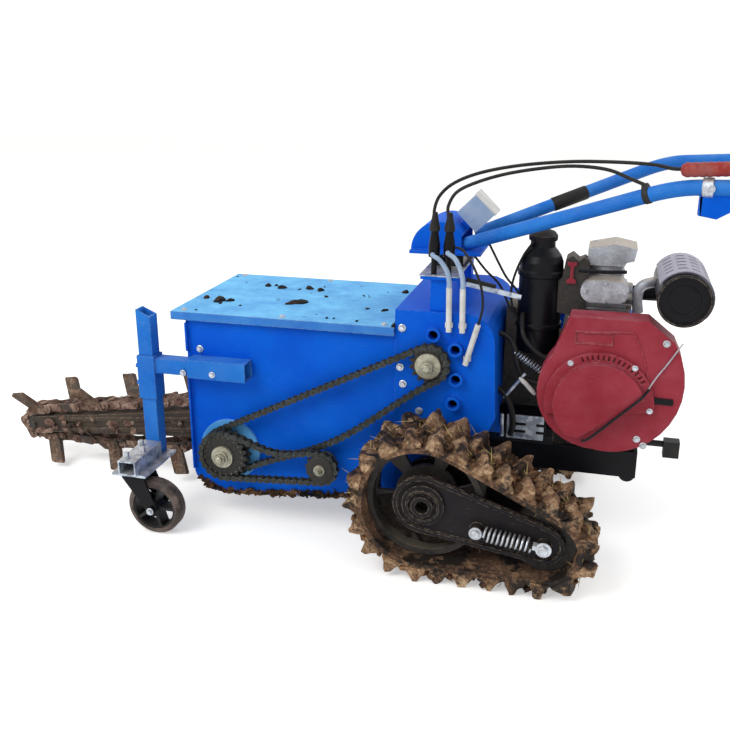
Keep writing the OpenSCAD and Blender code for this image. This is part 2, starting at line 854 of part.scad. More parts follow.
// Digging chain with its cutters, alternately left and right
module digging_chain() {
    nose = [-boom_len, 0];
    root = [0, 0];
    links = 2 * cutter_count;
    loop = belt_len(root, dig_sprocket_r, nose, nose_r);
    sides = 3 * links;
    waist = 0.6;
    blade_w = 38;
    first_angle = -24;
    sag = [dig_sag, 0];
    first = arc_len(nose_r, belt_turn(root, dig_sprocket_r, nose, nose_r) - first_angle);
    color(mud)
        boom_frame()
            union() {
                along_y(-dig_chain_w / 2, dig_chain_w / 2)
                    difference() {
                        polygon(link_outline(root, dig_sprocket_r, nose, nose_r, dig_plate_h / 2, links,
                            waist, sag));
                        polygon(belt_outline(root, dig_sprocket_r, nose, nose_r, -dig_plate_h / 2, sides, sag));
                    }
                for (i = [0 : cutter_count - 1]) {
                    s = first + i * loop / cutter_count;
                    translate([dig_point(s)[0], 0, dig_point(s)[1]])
                        rotate([0, -cutter_lean - dig_angle(s), 0])
                            translate([-blade_w / 2, 0, 0])
                                rotate([90, 0, 90])
                                    linear_extrude(height = blade_w)
                                        cutter(i % 2 == 0 ? 1 : -1);
                }
            }
}

module digging_sprocket() {
    tip = dig_sprocket_r - dig_plate_h / 2 - 2;
    root = tip - 10;
    color(dark_steel)
        boom_frame()
            along_y(-dig_chain_w / 2 - 3, dig_chain_w / 2 + 3)
                difference() {
                    teeth(8, root, tip);
                    circle(r = head_shaft_r + running);
                }
}

module nose_roller() {
    pin_r = 10;
    plate_y = dig_chain_w / 2 + 4;
    color(dark_steel)
        boom_frame() {
            rod_y(-boom_len, 0, -dig_chain_w / 2, dig_chain_w / 2, nose_r - dig_plate_h / 2 - 1);
            rod_y(-boom_len, 0, -plate_y - boom_plate_t - 8, plate_y + boom_plate_t + 8, pin_r);
        }
}

// Square tube along X, its outer corners a and b
module tube_x(a, b, t) {
    difference() {
        block(a, b);
        block([a[0] - cut, a[1] + t, a[2] + t], [b[0] + cut, b[1] - t, b[2] - t]);
    }
}

module depth_socket() {
    color(blue)
        tube_x([socket_front_x, -wall_y - socket_w, socket_z],
            [socket_rear_x, -wall_y, socket_z + socket_w], tube_t);
}

// Bar in the socket, with the sleeve welded to its front end and two set bolts
module depth_bar() {
    bar_rear = socket_rear_x - 60;
    sleeve = [post_x - socket_w / 2, socket_y - socket_w / 2, sleeve_z];
    bar_z = socket_z + tube_t;
    bolt_r = 6;
    bolt_out = 16;
    color(blue)
        union() {
            difference() {
                translate(sleeve)
                    cube([socket_w, socket_w, sleeve_h]);
                translate(sleeve + [tube_t, tube_t, -cut])
                    cube([socket_in, socket_in, sleeve_h + 2 * cut]);
            }
            for (u = [0.3, 0.7])
                rod([post_x - socket_w / 2 - bolt_out, socket_y, sleeve_z + u * sleeve_h],
                    [post_x - post_w / 2 - bolt_gap, socket_y, sleeve_z + u * sleeve_h], bolt_r);
            tube_x([post_x + socket_w / 2 - cut, socket_y - post_w / 2, bar_z],
                [bar_rear, socket_y + post_w / 2, bar_z + post_w], tube_t);
        }
}

// Sliding post, its top cut at an angle
module depth_post() {
    slant = 18;
    color(blue)
        difference() {
            along_y(socket_y - post_w / 2, socket_y + post_w / 2)
                polygon([[post_x - post_w / 2, post_bottom], [post_x + post_w / 2, post_bottom],
                    [post_x + post_w / 2, post_top - slant], [post_x - post_w / 2, post_top]]);
            translate([post_x - post_w / 2 + tube_t, socket_y - post_w / 2 + tube_t, post_bottom - cut])
                cube([post_w - 2 * tube_t, post_w - 2 * tube_t, post_top - post_bottom + 2 * cut]);
        }
}

// Galvanised channel from the foot of the post out over the caster, on its base plate
module caster_arm() {
    arm_w = 50;
    arm_near = caster_y - 55;
    arm_far = socket_y - post_w / 2;
    plate_far = socket_y + post_w / 2;
    plate_half = 48;
    pin_r = 8;
    color(zinc)
        difference() {
            union() {
                difference() {
                    block([post_x - arm_w / 2, arm_near, arm_z], [post_x + arm_w / 2, arm_far, arm_top]);
                    block([post_x - arm_w / 2 + tube_t, arm_near - cut, arm_z + tube_t],
                        [post_x + arm_w / 2 - tube_t, arm_far + cut, arm_top - tube_t]);
                }
                block([post_x - plate_half, caster_y - plate_half, caster_plate_z],
                    [post_x + plate_half, plate_far, arm_z + cut]);
            }
            translate([post_x, caster_y, caster_plate_z - cut])
                cylinder(h = caster_plate_t + tube_t + 2 * cut, r = pin_r + running);
        }
}

// Swivel fork with its race and king pin
module caster_fork() {
    race_r = 28;
    pin_r = 8;
    pin_head_r = 12;
    leg_w = 34;
    side = caster_w / 2 + 5;
    axle = [post_x + caster_trail, caster_r];
    color(black)
        union() {
            difference() {
                union() {
                    for (y = [caster_y - side - fork_t, caster_y + side])
                        along_y(y, y + fork_t)
                            polygon([[post_x - 30, race_z], [post_x + 34, race_z],
                                [axle[0] + leg_w / 2, axle[1]], [axle[0] + leg_w / 3, axle[1] - leg_w / 2],
                                [axle[0] - leg_w / 3, axle[1] - leg_w / 2], [axle[0] - leg_w / 2, axle[1]]]);
                    block([post_x - 30, caster_y - side - cut, fork_plate_z],
                        [post_x + 34, caster_y + side + cut, race_z]);
                }
                rod_y(axle[0], axle[1], caster_y - side - 2 * fork_t, caster_y + side + 2 * fork_t,
                    caster_axle_r + running);
            }
            translate([post_x, caster_y, race_z - cut])
                cylinder(h = race_h + cut, r = race_r);
            translate([post_x, caster_y, race_z])
                cylinder(h = arm_z + tube_t + 8 - race_z, r = pin_r);
        }
}

// Spoked hub with its axle
module caster_hub() {
    rim_r = caster_r - 16;
    rim_t = 5;
    hub_r = 14;
    spokes = 5;
    side = caster_w / 2 + 5;
    color(black)
        union() {
            along_y(caster_y - caster_w / 2 + 3, caster_y + caster_w / 2 - 3)
                translate([post_x + caster_trail, caster_r]) {
                    difference() {
                        circle(r = rim_r);
                        circle(r = rim_r - rim_t);
                    }
                    for (i = [0 : spokes - 1])
                        rotate(i * 360 / spokes)
                            translate([0, -4])
                                square([rim_r - rim_t / 2, 8]);
                    circle(r = hub_r);
                }
            rod_y(post_x + caster_trail, caster_r, caster_y - side - fork_t - 8, caster_y + side + fork_t + 8,
                caster_axle_r);
        }
}

module caster_tyre() {
    rim_r = caster_r - 16;
    round_r = 9;
    color(rubber)
        translate([post_x + caster_trail, caster_y, caster_r])
            rotate([90, 0, 0])
                rotate_extrude()
                    polygon([[rim_r, -caster_w / 2], [caster_r - round_r, -caster_w / 2],
                        [caster_r, -caster_w / 2 + round_r], [caster_r, caster_w / 2 - round_r],
                        [caster_r - round_r, caster_w / 2], [rim_r, caster_w / 2]]);
}

// Frame under the engine: two rails, cross plates at both ends
module engine_frame() {
    rail_y = 150;
    rail_w = 40;
    stay = [case_foot_x + 50, case_foot_x + 146];
    stay_h = 60;
    stay_t = 8;
    foot_r = 20;
    foot_z = engine_floor - frame_h + 8;
    color(black)
        union() {
            both_sides()
                block([case_foot_x, -rail_y, engine_floor - frame_h],
                    [frame_rear_x, -rail_y + rail_w, engine_floor]);
            block([frame_rear_x - 40, -rail_y, engine_floor - frame_h], [frame_rear_x, rail_y, engine_floor]);
            block([crank_x - crankcase_l / 2, -rail_y, engine_floor - 10], [frame_rear_x, rail_y, engine_floor]);
            block([stay[0], -rail_y + edge_step, engine_floor - cut],
                [stay[1], -rail_y + stay_t, engine_floor + stay_h]);
            both_sides()
                rod_y(frame_rear_x - foot_r - edge_step, foot_z, -rail_y + edge_step,
                    -rail_y + rail_w - edge_step, foot_r);
        }
}

// Crankcase with its output boss on the far side
module engine_block() {
    boss = 60;
    color(aluminium)
        union() {
            block([crank_x - crankcase_l / 2, engine_near, engine_floor],
                [crank_x + crankcase_l / 2, engine_far, crankcase_top]);
            rod_y(crank_x, crank_z, engine_far - cut, case_y, boss);
        }
}

// Finned cylinder with a drum under its rocker cover, a pump cover on the near side and the exhaust port
module cylinder_head() {
    fin_t = 4;
    fins = 7;
    fin_pitch = 14;
    drum_r = 46;
    drum = [crankcase_top + 100, crankcase_top + 180];
    cover_w = 110;
    cover = [[-50, 170], [38, 170], [44, 180], [61, 184], [66, 214], [14, 224], [-50, 210]];
    port_r = 24;
    pump_r = 27;
    pump_half = 30;
    pump_z = crankcase_top + 118;
    base = [crank_x - head_core[0] / 2, -head_core[1] / 2 + 10, crankcase_top];
    color(aluminium)
        union() {
            translate(base)
                cube(head_core);
            for (i = [0 : fins - 1])
                translate(base + [-fin_over, -fin_over, 10 + i * fin_pitch])
                    cube([head_core[0] + 2 * fin_over, head_core[1] + 2 * fin_over, fin_t]);
            along_y(-cover_w / 2, cover_w / 2)
                translate([crank_x, crankcase_top])
                    polygon(cover);
            translate([crank_x - 6, 0, drum[0]])
                cylinder(h = drum[1] - drum[0], r = drum_r);
            along_y(base[1] - fin_over - 34, base[1] + 20)
                translate([crank_x - 3, pump_z]) {
                    for (side = [-1, 1])
                        translate([side * pump_half, 0])
                            circle(r = pump_r);
                    translate([-pump_half, -pump_r])
                        square([2 * pump_half, 2 * pump_r]);
                }
            rod([crank_x, 0, port_z], [crank_x + head_core[0] / 2 + fin_over, 0, port_z], port_r);
        }
}

// Sheet shroud round the fan, open towards the crankcase: a scroll that widens up to a flat neck
module shroud_outline(inset) {
    neck = [[103, 187], [-75, 187]];
    polygon(concat(
        [for (a = [140 : 10 : 400])
            [crank_x, crank_z] + (shroud_r - inset + shroud_grow * max(0, a - 270) / 130) * dir(a)],
        [[crank_x + neck[0][0] - inset / 2, crank_z + neck[0][1] - inset],
            [crank_x + neck[1][0] + inset / 2, crank_z + neck[1][1] - inset]]));
}

module fan_shroud() {
    recess = [[-58, 125], [24, 150]];
    recess_d = 2;
    color(red)
        difference() {
            along_y(shroud_near, engine_near)
                shroud_outline(0);
            along_y(shroud_near + shroud_t, engine_near + cut)
                shroud_outline(shroud_t);
            block([crank_x + recess[0][0], shroud_near - cut, crank_z + recess[0][1]],
                [crank_x + recess[1][0], shroud_near + recess_d, crank_z + recess[1][1]]);
        }
}

// Recoil starter: a round cover with one straight side, on a flange with a row of slots
module recoil_starter() {
    slots = 14;
    slot = [12, 5];
    slot_d = 6;
    flange_w = 22;
    flange_d = recoil_d * 0.4;
    centre = [crank_x + 4, crank_z - 22];
    cover = concat([for (a = [14 : 12 : 230]) recoil_r * dir(a)], [recoil_r * [-0.41, -0.8]]);
    flange = [for (a = [-4 : 8 : 196]) (recoil_r + flange_w) * dir(a)];
    color(red)
        difference() {
            union() {
                along_y(shroud_near - flange_d, shroud_near)
                    translate(centre)
                        polygon(flange);
                along_y(shroud_near - recoil_d, shroud_near - cut)
                    translate(centre)
                        polygon(cover);
            }
            for (i = [0 : slots - 1])
                translate([centre[0], shroud_near - flange_d - cut, centre[1]])
                    rotate([0, -34 - i * 78 / (slots - 1), 0])
                        translate([recoil_r + 5, 0, -slot[1] / 2])
                            cube([slot[0], slot_d + cut, slot[1]]);
        }
}

// Rubber handle on its rod, behind the engine
module starter_handle() {
    y = engine_near + 30;
    z = engine_floor + 14;
    start = crank_x + crankcase_l / 2;
    color(black)
        union() {
            rod([start, y, z], [start + 75, y, z], 8);
            block([start + 70, y - 16, z - 30], [start + 108, y + 16, z + 12]);
        }
}

// Oil-bath air cleaner: canister with bands, neck and cap
module air_cleaner() {
    r = cleaner_r;
    skin = r - cleaner_step;
    h = cleaner_h;
    color(black)
        translate([cleaner_x, cleaner_y, cleaner_z])
            rotate_extrude()
                polygon([[0, 0], [skin - 4, 0], [skin, 6], [skin, 62], [r, 64], [r, 74], [skin, 76],
                    [skin, h - 70], [r, h - 68], [r, h - 56], [skin, h - 54], [skin - 1, h - 34], [skin - 7, h - 18],
                    [skin - 16, h - 6], [31, h + 2], [30, h + 20], [34, h + 22], [34, h + 32], [27, h + 40],
                    [0, h + 46]]);
}

// Pipe from the air cleaner's side to the cylinder head
module intake_pipe() {
    pipe_r = 20;
    z = crankcase_top + 60;
    y = cleaner_y + 8;
    color(aluminium)
        difference() {
            rod([cleaner_x, y, z], [crank_x - head_core[0] / 2 - fin_over, y, z], pipe_r);
            translate([cleaner_x, cleaner_y, cleaner_z])
                cylinder(h = cleaner_h, r = cleaner_r - cleaner_step + running);
        }
}

// Muffler across the machine, with the pipe from the head
module muffler() {
    pipe_r = 18;
    rim_w = 6;
    rim_d = 8;
    color(black)
        difference() {
            union() {
                rod_y(muffler_x, muffler_z, muffler_near, muffler_far, muffler_r);
                rod([crank_x + head_core[0] / 2 + fin_over, 0, port_z], [muffler_x, 0, port_z], pipe_r);
            }
            rod_y(muffler_x, muffler_z, muffler_near - cut, muffler_near + rim_d, muffler_r - rim_w);
        }
}

// Sheet guard bent over the muffler's top and rear, on two bands, with rows of slots
module muffler_guard() {
    gap = 4;
    sheet = 2;
    end_gap = 20;
    band_w = 6;
    from = -38;
    to = 150;
    slot = [10, 20];
    columns = 5;
    rows = 6;
    first = 26;
    row_step = 27;
    y0 = muffler_near + end_gap;
    y1 = muffler_far - end_gap;
    column_step = (y1 - y0 - 2 * end_gap) / columns;
    color(black)
        difference() {
            union() {
                along_y(y0, y1)
                    guard_arc(muffler_r + gap, muffler_r + gap + sheet, from, to);
                for (y = [y0 + band_w, y1 - 2 * band_w])
                    along_y(y, y + band_w)
                        guard_arc(muffler_r, muffler_r + gap + sheet / 2, from + 4, to - 4);
            }
            translate([muffler_x, 0, muffler_z])
                for (i = [0 : rows - 1], k = [0 : columns - 1])
                    rotate([0, -to + first + i * row_step, 0])
                        translate([muffler_r + gap - cut, y0 + end_gap + (k + 0.5) * column_step, 0])
                            translate([0, -slot[0] / 2, -slot[1] / 2])
                                cube([sheet + 2 * cut, slot[0], slot[1]]);
        }
}

// Part of a ring round the muffler's axis in the side view, from one angle to another
module guard_arc(r0, r1, from, to) {
    step = 8;
    turn = [for (i = [0 : ceil((to - from) / step)]) from + (to - from) * i / ceil((to - from) / step)];
    translate([muffler_x, muffler_z])
        intersection() {
            difference() {
                circle(r = r1);
                circle(r = r0);
            }
            polygon(concat([[0, 0]], [for (a = turn) 1.2 * r1 * dir(a)]));
        }
}

// Belt guard on the far side, from the crankshaft to the gear case, open towards the machine
module belt_guard() {
    guard_t = 62;
    sheet = 3;
    rear_r = 115;
    front = [drive_x + 21, drive_z + 11];
    track_gap = 20;
    front_r = min(80, front[1] - 2 * track_r - track_gap);
    sides = 48;
    color(blue)
        difference() {
            along_y(case_y, case_y + guard_t)
                polygon(belt_outline([crank_x, crank_z], rear_r, front, front_r, 0, sides));
            along_y(case_y - cut, case_y + guard_t - sheet)
                polygon(belt_outline([crank_x, crank_z], rear_r, front, front_r, -sheet, sides));
        }
}

// Posts on the gear case and the plate across them
module column() {
    half_l = 45;
    plate_y = column_y + 30;
    color(blue)
        union() {
            both_sides()
                block([column_x - column_r, -column_y - column_r, case_top],
                    [column_x + column_r, -column_y + column_r, seat_plate_z + cut]);
            block([column_x - half_l, -plate_y, seat_plate_z], [column_x + half_l, plate_y, bracket_z]);
        }
}

// Black bracket with side windows between the plate and the seat, and two rubber boots at the near end
module seat_bracket() {
    half_l = 40;
    half_w = 105;
    window = 8;
    color(black) {
        difference() {
            block([column_x - half_l, -half_w, bracket_z], [column_x + half_l, half_w, seat_z]);
            block([column_x - half_l + window, -half_w - cut, bracket_z + window],
                [column_x + half_l - window, half_w + cut, seat_z - window]);
        }
        for (x = boot_x)
            translate([x, boot_y, bracket_z])
                rotate_extrude()
                    polygon([[0, 0], [7, 0], [7, 42], [14, 46], [14, 74], [9, 106], [7, boot_h], [0, boot_h]]);
    }
}

// Handlebar seat: base plate under a bent hood
module handlebar_seat() {
    base_half = 115;
    hood_half = 95;
    hood_t = 5;
    stand_half = 12;
    color(blue)
        union() {
            block([hood_x - hood_r, -base_half, seat_z], [column_x + 84, base_half, seat_z + plate_t]);
            for (y = [-hood_half, hood_half - hood_t])
                along_y(y, y + hood_t)
                    translate([hood_x, hood_z])
                        difference() {
                            circle(r = hood_r - hood_t / 2);
                            translate([-2 * hood_r, -2 * hood_r])
                                square([4 * hood_r, 2 * hood_r]);
                            translate([0.78 * hood_r, 0])
                                square([hood_r, hood_r]);
                        }
            along_y(-hood_half, hood_half)
                translate([hood_x, hood_z])
                    difference() {
                        circle(r = hood_r);
                        circle(r = hood_r - hood_t);
                        translate([-2 * hood_r, -2 * hood_r])
                            square([4 * hood_r, 2 * hood_r]);
                        translate([0.79 * hood_r, 0])
                            square([hood_r, hood_r]);
                    }
            translate([hood_x, 0, hood_z])
                rotate([0, box_tilt, 0])
                    block([-stand_half, -stand_half, hood_r - hood_t / 2],
                        [stand_half, stand_half, hood_r + box_stand]);
        }
}

// Both handlebars: a rising tube with a smooth bend, then a straight end for the grip
module handlebar() {
    steps = 8;
    before = mix(bar_bend, bar_start, 0.12);
    after = mix(bar_bend, bar_end, 0.12);
    path = concat([bar_start], [for (i = [0 : steps]) bend_point(before, bar_bend, after, i / steps)]);
    swept([for (p = path) near_side(p)], bar_r, 16, [0, 0, 1]);
    rod(near_side(mix(after, bar_bend, 0.02)), near_side(bar_end), bar_r);
}

module handlebars() {
    color(blue)
        both_sides()
            handlebar();
}

module grips() {
    back = bar_end - unit(bar_end - bar_bend) * grip_len;
    color(black)
        both_sides()
            difference() {
                rod(near_side(back), near_side(bar_end), grip_r);
                rod(near_side(mix(back, bar_bend, 0.1)), near_side(mix(bar_end, bar_bend, -0.1)),
                    bar_r + running);
            }
}

// Hand lever above the near bar: a thick dipped handle on a clamp round the tube
module hand_lever() {
    clamp_t = 7;
    clamp = [for (u = [0.13, 0.145, 0.195, 0.21]) near_side(mix(bar_bend, bar_end, u))];
    post = [clamp[1][0] + 2, clamp[1][1], clamp[1][2]];
    color(red)
        union() {
            difference() {
                rod(clamp[1], clamp[2], bar_r + clamp_t);
                rod(clamp[0], clamp[3], bar_r + running);
            }
            block(post + [0, -5, bar_r + 3], post + [12, 5, lever_rise]);
            rod(lever_ends[0], lever_ends[1], lever_r);
        }
}

module control_box() {
    left = 39;
    color(white)
        translate([hood_x, 0, hood_z])
            rotate([0, box_tilt, 0])
                translate([-left, -box_size[1] / 2, hood_r + box_stand])
                    cube(box_size);
}

// Control cables: two from the boots to the near bar and its lever, three from the boots to the adjusters
module control_cables() {
    boot_top = bracket_z + boot_h;
    pull = unit(lever_ends[1] - lever_ends[0]);
    color(black) {
        swept([[boot_x[1], boot_y, boot_top], [boot_x[1], boot_y, boot_top + 14], [272, -202, 862],
            [271, -196, 884], [288, -187, 914], [330, -178, 936], [400, -172, 958], [490, -178, 975],
            [560, -192, 980], [628, -212, 973], on_bar(0.83), on_bar(0.87)], cable_r, 8, [1, 0, 0]);
        swept([[boot_x[0], boot_y, boot_top], [boot_x[0], boot_y, boot_top + 14], [238, -200, 872],
            [248, -186, 905], [280, -170, 934], [340, -160, 958], [430, -160, 977], [540, -178, 990],
            [640, -210, 995], [720, -243, 995], lever_ends[0] - 22 * pull, lever_ends[0]], cable_r, 8, [1, 0, 0]);
        swept([[284, -230, 693], [284, -230, 705], [279, -231, 730], [262, -232, 757], [246, -233, 768],
            [241, -228, 770], [241, -218.4, 770]], 3, 8, [1, 1, 0]);
        swept([[317, -230, 693], [317, -230, 705], [312, -231, 732], [298, -232, 762], [283, -233, 774],
            [277, -228, 776], [277, -218.4, 776]], 3, 8, [1, 1, 0]);
        swept([[357, -230, 607], [361.2, -230, 622.5], [366, -230, 655], [360, -229, 700], [340, -222, 745],
            [316, -210, 776], [303, -204, 784], [291.4, -204, 786]], 3, 8, [0, 1, 0]);
    }
}

// White cable adjusters clipped to the near side plate: upper and lower end of each in the side view
module cable_adjusters() {
    r = 7;
    clip = [9, 6];
    y = -case_y - r - 3;
    top = case_top + 65;
    tubes = [[[drive_x + 43, top], [drive_x + 45, top - 109]], [[drive_x + 76, top], [drive_x + 78, top - 109]],
        [[drive_x + 116, top - 86], [drive_x + 88, top - 190]]];
    color(white)
        for (t = tubes) {
            low = mix(t[0], t[1], 0.85);
            rod([t[0][0], y, t[0][1]], [t[1][0], y, t[1][1]], r);
            block([low[0] - clip[0], y, low[1] - clip[1]], [low[0] + clip[0], -case_y, low[1] + clip[1]]);
        }
}

track_near();
track_far();
drive_wheels();
idlers();
track_frames();
drive_axle();
box_near_wall();
box_far_wall();
box_front();
lid();
gear_case();
bearing_seats();
head_shaft();
drive_sprocket();
cross_shaft();
upper_chain();
lower_chain();
boom_bar();
digging_chain();
digging_sprocket();
nose_roller();
depth_socket();
depth_bar();
depth_post();
caster_arm();
caster_fork();
caster_hub();
caster_tyre();
engine_frame();
engine_block();
cylinder_head();
fan_shroud();
recoil_starter();
starter_handle();
air_cleaner();
intake_pipe();
muffler();
muffler_guard();
belt_guard();
column();
seat_bracket();
handlebar_seat();
handlebars();
grips();
hand_lever();
control_box();
control_cables();
cable_adjusters();
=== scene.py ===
# %% [markdown]
# # A chain trencher on rubber tracks
#
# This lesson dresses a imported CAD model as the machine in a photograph: blue enamelled sheet metal, dusty
# red engine covers, oily roller chains and a boom that is caked in dry mud. The CAD model is the fixed
# frame. Every new piece is put straight into its coordinates, with +X to the operator, +Y to the far side
# and +Z up. Shapes are worked out in millimetres and become metres as they enter Blender.

import bmesh
import bpy
import numpy as np
from mathutils import Matrix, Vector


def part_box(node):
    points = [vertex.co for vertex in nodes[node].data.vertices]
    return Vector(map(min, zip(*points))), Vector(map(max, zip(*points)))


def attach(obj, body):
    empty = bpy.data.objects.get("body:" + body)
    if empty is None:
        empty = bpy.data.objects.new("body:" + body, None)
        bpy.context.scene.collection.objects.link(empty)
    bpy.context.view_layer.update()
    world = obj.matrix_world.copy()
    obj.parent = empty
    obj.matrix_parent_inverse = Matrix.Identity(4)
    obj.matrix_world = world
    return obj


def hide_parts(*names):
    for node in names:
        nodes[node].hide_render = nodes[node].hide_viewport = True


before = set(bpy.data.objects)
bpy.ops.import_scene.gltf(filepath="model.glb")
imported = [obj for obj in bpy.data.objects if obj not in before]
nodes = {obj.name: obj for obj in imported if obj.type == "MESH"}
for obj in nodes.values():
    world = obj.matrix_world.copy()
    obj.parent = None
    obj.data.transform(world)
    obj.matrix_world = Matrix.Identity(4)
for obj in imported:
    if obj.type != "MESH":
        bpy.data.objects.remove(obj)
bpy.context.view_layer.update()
scene = bpy.context.scene
scene.view_settings.view_transform = "Standard"

# %% [markdown]
# ## The camera
#
# The photograph was taken from the chain side, a little behind the machine's middle and above it, so the
# camera looks down by 18.5 degrees and is turned by 15 degrees. Its three directions are written out and
# put into one matrix, which is easier to check against the photograph than three turns in a row.

# %% Camera at the photograph's place


def unit(v):
    """Vectors divided by their lengths."""
    return v / np.linalg.norm(v, axis=-1, keepdims=True)


def placed(right, up, forward, spot):
    """The matrix of a camera or lamp at spot. Both look along their own -Z, so forward is turned round."""
    place = np.eye(4)
    place[:3] = np.column_stack([right, up, -forward, spot])
    return Matrix(place.tolist())


right = np.array([0.9651, 0.2623, 0.0])
up = np.array([-0.0832, 0.3061, 0.9484])
forward = np.array([-0.2488, 0.9152, -0.3172])
camera_data = bpy.data.cameras.new("photo_camera")
camera_data.sensor_fit = "HORIZONTAL"
camera_data.sensor_width = 36.0
camera_data.lens = 44.4
camera = bpy.data.objects.new("photo_camera", camera_data)
camera.matrix_world = placed(right, up, forward, (0.640, -2.305, 1.200))
scene.collection.objects.link(camera)
scene.camera = camera
print("camera at", [round(v, 3) for v in camera.location])

# %% [markdown]
# ## Colours and shader nodes
#
# Colours are written as the hex values that a paint program shows, and one function turns them into the
# linear light that shaders count in. Another small function adds a shader node: its settings, its input
# values and its links in one line, so that a material reads from top to bottom as a recipe. Sizes of
# patterns are given in millimetres, and per() turns a size into the number of repeats in a metre that a
# texture asks for.

# %% Helpers for colours and nodes


def linear(code):
    """sRGB hex to linear RGBA: c/12.92 below 0.04045, and ((c+0.055)/1.055)^2.4 above it."""
    c = np.array([int(code[i:i + 2], 16) for i in (1, 3, 5)]) / 255.0
    light = np.where(c <= 0.04045, c / 12.92, ((c + 0.055) / 1.055) ** 2.4)
    return (*light.tolist(), 1.0)


def per(size_mm):
    """Scale of a pattern whose features are size_mm wide: 1000 mm divided by that size."""
    return 1000.0 / size_mm


def feed(tree, node, inputs):
    """Fills inputs by name or number: a node gives its first output, a socket is linked, a value is set."""
    for name, value in inputs.items():
        if isinstance(value, bpy.types.Node):
            value = next(socket for socket in value.outputs if socket.enabled)
        if isinstance(value, bpy.types.NodeSocket):
            tree.links.new(value, node.inputs[name])
        else:
            node.inputs[name].default_value = value


def add(tree, kind, *first, stops=(), **named):
    """Adds one shader node and fills its inputs: those in first from the top, the others by name.

    A name with a capital is an input, with _ for a space, and any other is a setting. stops fills a colour
    ramp with rising (position, hex colour) pairs."""
    made = tree.nodes.new("ShaderNode" + kind)
    inputs = dict(enumerate(first))
    for name, value in named.items():
        if name[0].isupper():
            inputs[name.replace("_", " ")] = value
        else:
            setattr(made, name, value)
    for k, (position, code) in enumerate(stops):
        element = made.color_ramp.elements[k] if k < 2 else made.color_ramp.elements.new(position)
        element.position = position
        element.color = linear(code)
    feed(tree, made, inputs)
    return made


def fresh(name):
    """A new node material: its tree, its surface shader and the object's own coordinates."""
    material = bpy.data.materials.new(name)
    material.use_nodes = True
    tree = material.node_tree
    return material, tree, tree.nodes["Principled BSDF"], add(tree, "TexCoord").outputs["Object"]


# %% [markdown]
# ## Painted sheet metal
#
# The box, the gear case and the handlebars are brushed or sprayed with a blue alkyd enamel. Outdoors such
# paint fades in patches, dust settles on what faces up, and the steel shows along edges and in scratches.
# The patches are noise of about 150 mm, the dust is finer, and the Bevel node finds the edges: it returns a
# normal that is already rounded, so where it leaves the true normal there is an edge to wear. On the blue
# paints the film on what faces up is a lighter blue, partly dust and partly a painted lit top, and on the
# black frame and the boom's rails the pale edges are partly wear and partly a painted highlight.

# %% Enamel on sheet steel


def enamel(name, paint, faded, chip_and_edge_highlight, dust, dusty, gloss, sheen, wear=0.5, settle=0.38, spots=None):
    """Paint, faded in patches, worn at edges, scratched, and dusted by noise and where a face looks up.

    Pale edges can also be a painted highlight, and a light film on top a painted lit top.
    """
    material, tree, shader, where = fresh(name)
    flat = add(tree, "NewGeometry").outputs["Normal"]
    rounded = add(tree, "Bevel", Radius=0.004, samples=4)
    patches = add(tree, "TexNoise", where, Scale=per(150), Detail=5.0, Roughness=0.6)
    speckle = add(tree, "TexNoise", where, Scale=per(11), Detail=4.0, Roughness=0.65)
    skin = add(tree, "ValToRGB", patches, stops=[(0.32, paint), (0.72, faded)])

    # The pale chip colour on edges is wear, and on the black frame and the rails also a painted highlight.
    edge = add(tree, "VectorMath", rounded, flat, operation="DOT_PRODUCT")
    worn = add(tree, "MapRange", edge, From_Min=0.985, From_Max=0.86, To_Max=wear)
    broken = add(tree, "MapRange", speckle, From_Min=0.42, From_Max=0.62)
    chipped_and_highlit_edges = add(tree, "Math", worn, broken, operation="MULTIPLY")
    lines = add(tree, "Mapping", where, Rotation=(0.3, 0.5, 0.4), Scale=(3.0, 3.0, 60.0))
    streaks = add(tree, "TexNoise", lines, Scale=per(143), Detail=3.0)
    scratched = add(tree, "MapRange", streaks, From_Min=0.69, From_Max=0.76, To_Max=0.35)
    bare = add(tree, "Math", chipped_and_highlit_edges, scratched, operation="MAXIMUM")
    skin = add(tree, "Mix", bare, A=skin, B=linear(chip_and_edge_highlight), data_type="RGBA")

    # The film on faces that look up is dust, and where its colour is a light blue also a painted lit top.
    cloud = add(tree, "TexNoise", where, Scale=per(62), Detail=7.0, Roughness=0.7)
    dust_and_lit_top_patches = add(tree, "MapRange", cloud, From_Min=settle, From_Max=0.78, To_Max=dusty)
    facing = add(tree, "SeparateXYZ", flat).outputs["Z"]
    lying = add(tree, "MapRange", facing, From_Min=-0.2, From_Max=1.0, To_Min=0.12)
    film = add(tree, "Math", dust_and_lit_top_patches, lying, operation="MULTIPLY")
    skin = add(tree, "Mix", film, A=skin, B=linear(dust), data_type="RGBA")
    if spots:
        drops = add(tree, "TexNoise", where, Scale=per(38), Detail=6.0, Roughness=0.72)
        mask = add(tree, "MapRange", drops, From_Min=0.7, From_Max=0.74)
        skin = add(tree, "Mix", mask, A=skin, B=linear(spots), data_type="RGBA")

    rough = add(tree, "MapRange", film, To_Min=gloss, To_Max=0.85)
    bump = add(tree, "Bump", Height=speckle, Strength=0.06, Distance=0.002, Normal=rounded)
    feed(tree, shader, {"Base Color": skin, "Roughness": rough, "Normal": bump, "Specular IOR Level": sheen})
    return material


# Deep blue with slow light patches and pale worn edges: sheet metal that is sprayed once and used outdoors.
# Its light blue film on what faces up is partly dust and partly a painted lit top.
blue_enamel = enamel("blue_alkyd_enamel_on_sheet_steel",
                     "#0052cc", "#0364dc", "#5f93d6", "#5f9ee6", 0.14, 0.5, 0.06)
